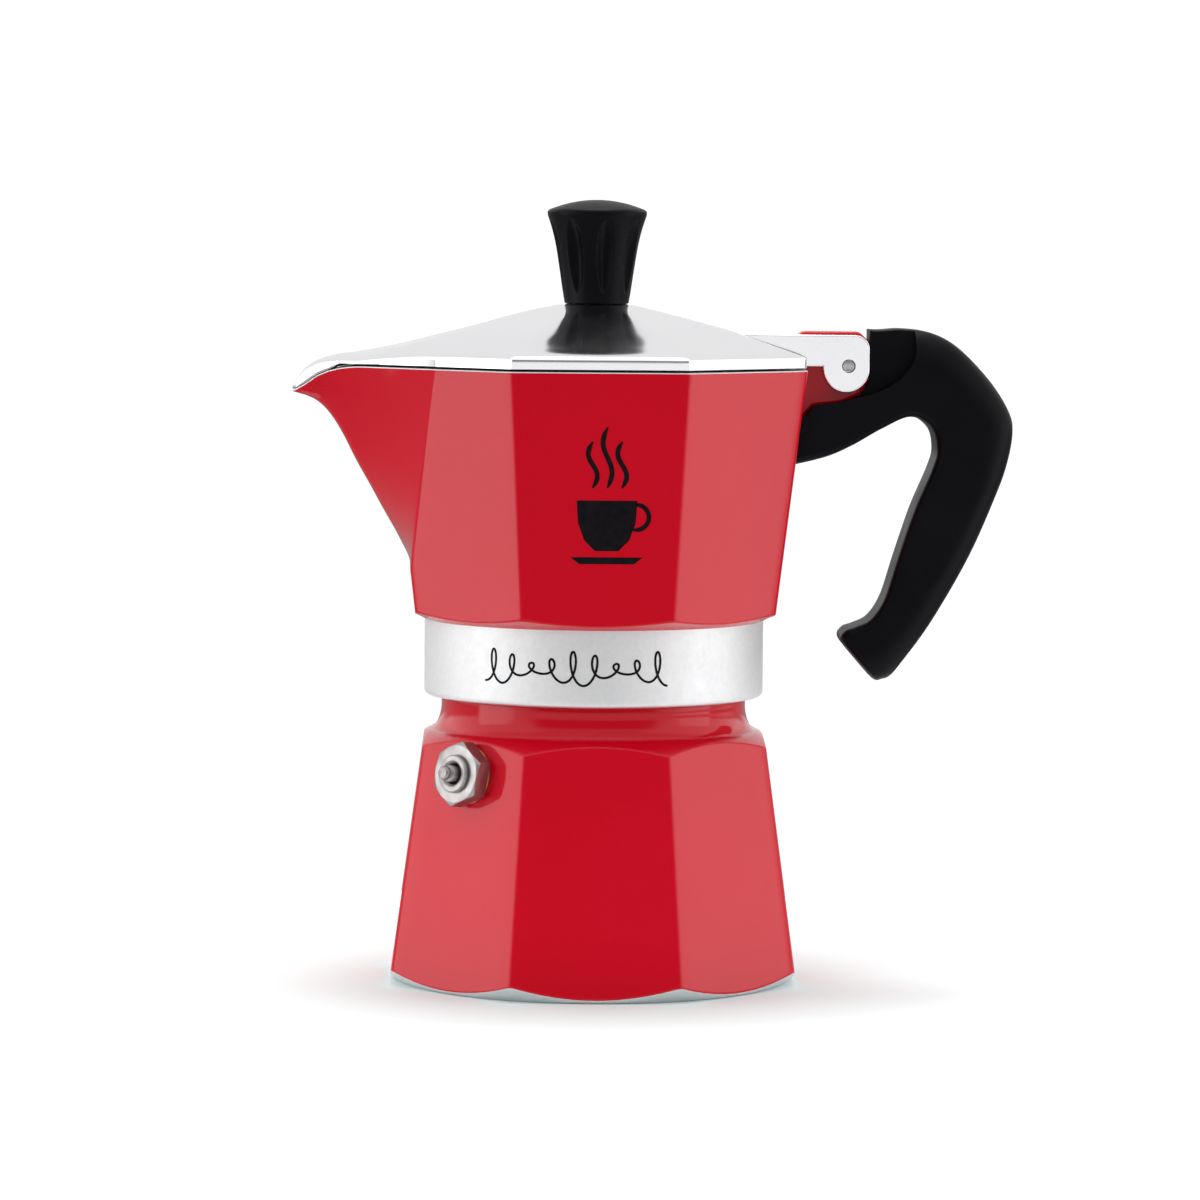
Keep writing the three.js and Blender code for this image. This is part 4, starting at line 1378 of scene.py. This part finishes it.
def world():
    """White to the camera. To the pot it is a studio tent: bright walls left and right, a bright ceiling,
    and a dark front with one pale strip at eye level."""
    scene = bpy.context.scene
    scene.world = bpy.data.worlds.new("studio")
    scene.world.use_nodes = True
    tree = scene.world.node_tree
    tree.nodes.clear()
    new, link = tree.nodes.new, tree.links.new
    direction = new("ShaderNodeTexCoord")
    split = new("ShaderNodeSeparateXYZ")
    link(direction.outputs["Generated"], split.inputs["Vector"])

    def math_node(operation, *inputs):
        made = new("ShaderNodeMath")
        made.operation = operation
        for socket, value in zip(made.inputs, inputs):
            if isinstance(value, (int, float)):
                socket.default_value = value
            else:
                link(value, socket)
        return made.outputs["Value"]

    def slope(value, none, full):
        """Smoothly 0 at none and 1 at full, whichever is higher."""
        made = new("ShaderNodeMapRange")
        made.interpolation_type = "SMOOTHSTEP"
        link(value, made.inputs["Value"])
        made.inputs["From Min"].default_value = min(none, full)
        made.inputs["From Max"].default_value = max(none, full)
        return made.outputs["Result"] if none < full else without(made.outputs["Result"])

    def without(share):
        return math_node("SUBTRACT", 1.0, share)

    def product(*factors):
        total = factors[0]
        for factor in factors[1:]:
            total = math_node("MULTIPLY", total, factor)
        return total

    x, y, z = split.outputs["X"], split.outputs["Y"], split.outputs["Z"]
    height = math_node("ABSOLUTE", z)
    skimming = product(slope(y, 0.8, 0.95), slope(z, -0.04, 0.0))
    behind = product(slope(y, 0.0, 0.2), slope(z, 0.1, 0.02), without(skimming))
    sideways = slope(math_node("ABSOLUTE", x), 0.5, 0.7)
    spoutward = slope(x, -0.4, -0.6)
    ahead = slope(y, -0.5, -0.8)
    low = product(slope(height, 0.29, 0.25), slope(y, 0.16, 0.08))
    eye_level = product(slope(z, -0.15, -0.10), slope(z, 0.085, 0.03))
    regions = (
        (SKY, slope(z, -0.05, 0.05)),
        (ZENITH_GLOW, slope(z, 0.76, 0.86)),
        (BACK_GROUND, behind),
        (FLANK, product(sideways, slope(height, 0.65, 0.5), without(behind))),
        (RIGHT_GLOW, product(slope(x, 0.86, 0.95), low)),
        (LEFT_GLOW, product(slope(x, -0.86, -0.95), low)),
        (SPOUT_SHADE, product(spoutward, slope(z, -0.265, -0.30))),
        (SPOUT_SHADE, product(spoutward, slope(y, 0.07, 0.12), slope(z, -0.06, -0.14))),
        (FRONT_SHADE, product(ahead, slope(height, 0.45, 0.33))),
        (FRONT_STRIP, product(ahead, eye_level)),
        (LID_STRIP, product(ahead, eye_level, slope(z, -0.055, -0.035))),
        (RIGHT_EDGE, product(slope(x, 0.7, 0.9), slope(z, -0.06, -0.04), slope(z, 0.03, 0.01))),
    )
    total = GROUND
    for strength, share in regions:
        kept = math_node("MULTIPLY", total, without(share))
        total = math_node("ADD", kept, math_node("MULTIPLY", strength, share))
    studio = new("ShaderNodeBackground")
    studio.inputs["Color"].default_value = (1, 1, 1, 1)
    link(total, studio.inputs["Strength"])
    white = new("ShaderNodeBackground")
    white.inputs["Color"].default_value = (1, 1, 1, 1)
    white.inputs["Strength"].default_value = 1.05
    path = new("ShaderNodeLightPath")
    blend = new("ShaderNodeMixShader")
    link(path.outputs["Is Camera Ray"], blend.inputs["Fac"])
    link(studio.outputs["Background"], blend.inputs[1])
    link(white.outputs["Background"], blend.inputs[2])
    out = new("ShaderNodeOutputWorld")
    link(blend.outputs["Shader"], out.inputs["Surface"])


def top_softbox():
    """A square light above and behind, which throws the short shadow forwards."""
    data = bpy.data.lights.new("top_softbox", "AREA")
    data.shape = "RECTANGLE"
    data.size = 0.45
    data.size_y = 0.45
    data.energy = 3.2
    lamp = bpy.data.objects.new("top_softbox", data)
    bpy.context.scene.collection.objects.link(lamp)
    lamp.location = (0, 0.34, 1.2)
    lamp.rotation_euler = (-lamp.location).to_track_quat("-Z", "Y").to_euler()


def camera():
    data = bpy.data.cameras.new("camera")
    data.sensor_width = 36.0
    data.lens = 159.88
    data.clip_start = 0.05
    cam = bpy.data.objects.new("camera", data)
    bpy.context.scene.collection.objects.link(cam)
    cam.location = (-0.0246, -1.1286, 0.1603)
    aim = Vector((0.02284, 0.99724, -0.07064))
    turn = aim.to_track_quat("-Z", "Y").to_matrix().to_4x4()
    roll = Matrix.Rotation(0.0083, 4, "Z")
    cam.matrix_world = Matrix.Translation(cam.location) @ turn @ roll
    bpy.context.scene.camera = cam


bpy.context.scene.view_settings.view_transform = "Standard"
camera()
world()
top_softbox()
floor()
boiler()
valve_washer()
valve_body()
valve_bush()
valve_stem()
valve_seal()
valve_spring()
funnel()
gasket()
collector()
emblem()
collar_line()
brew_column()
hinge_pin()
handle()
handle_screw()
lid()
knob()
knob_fastening()
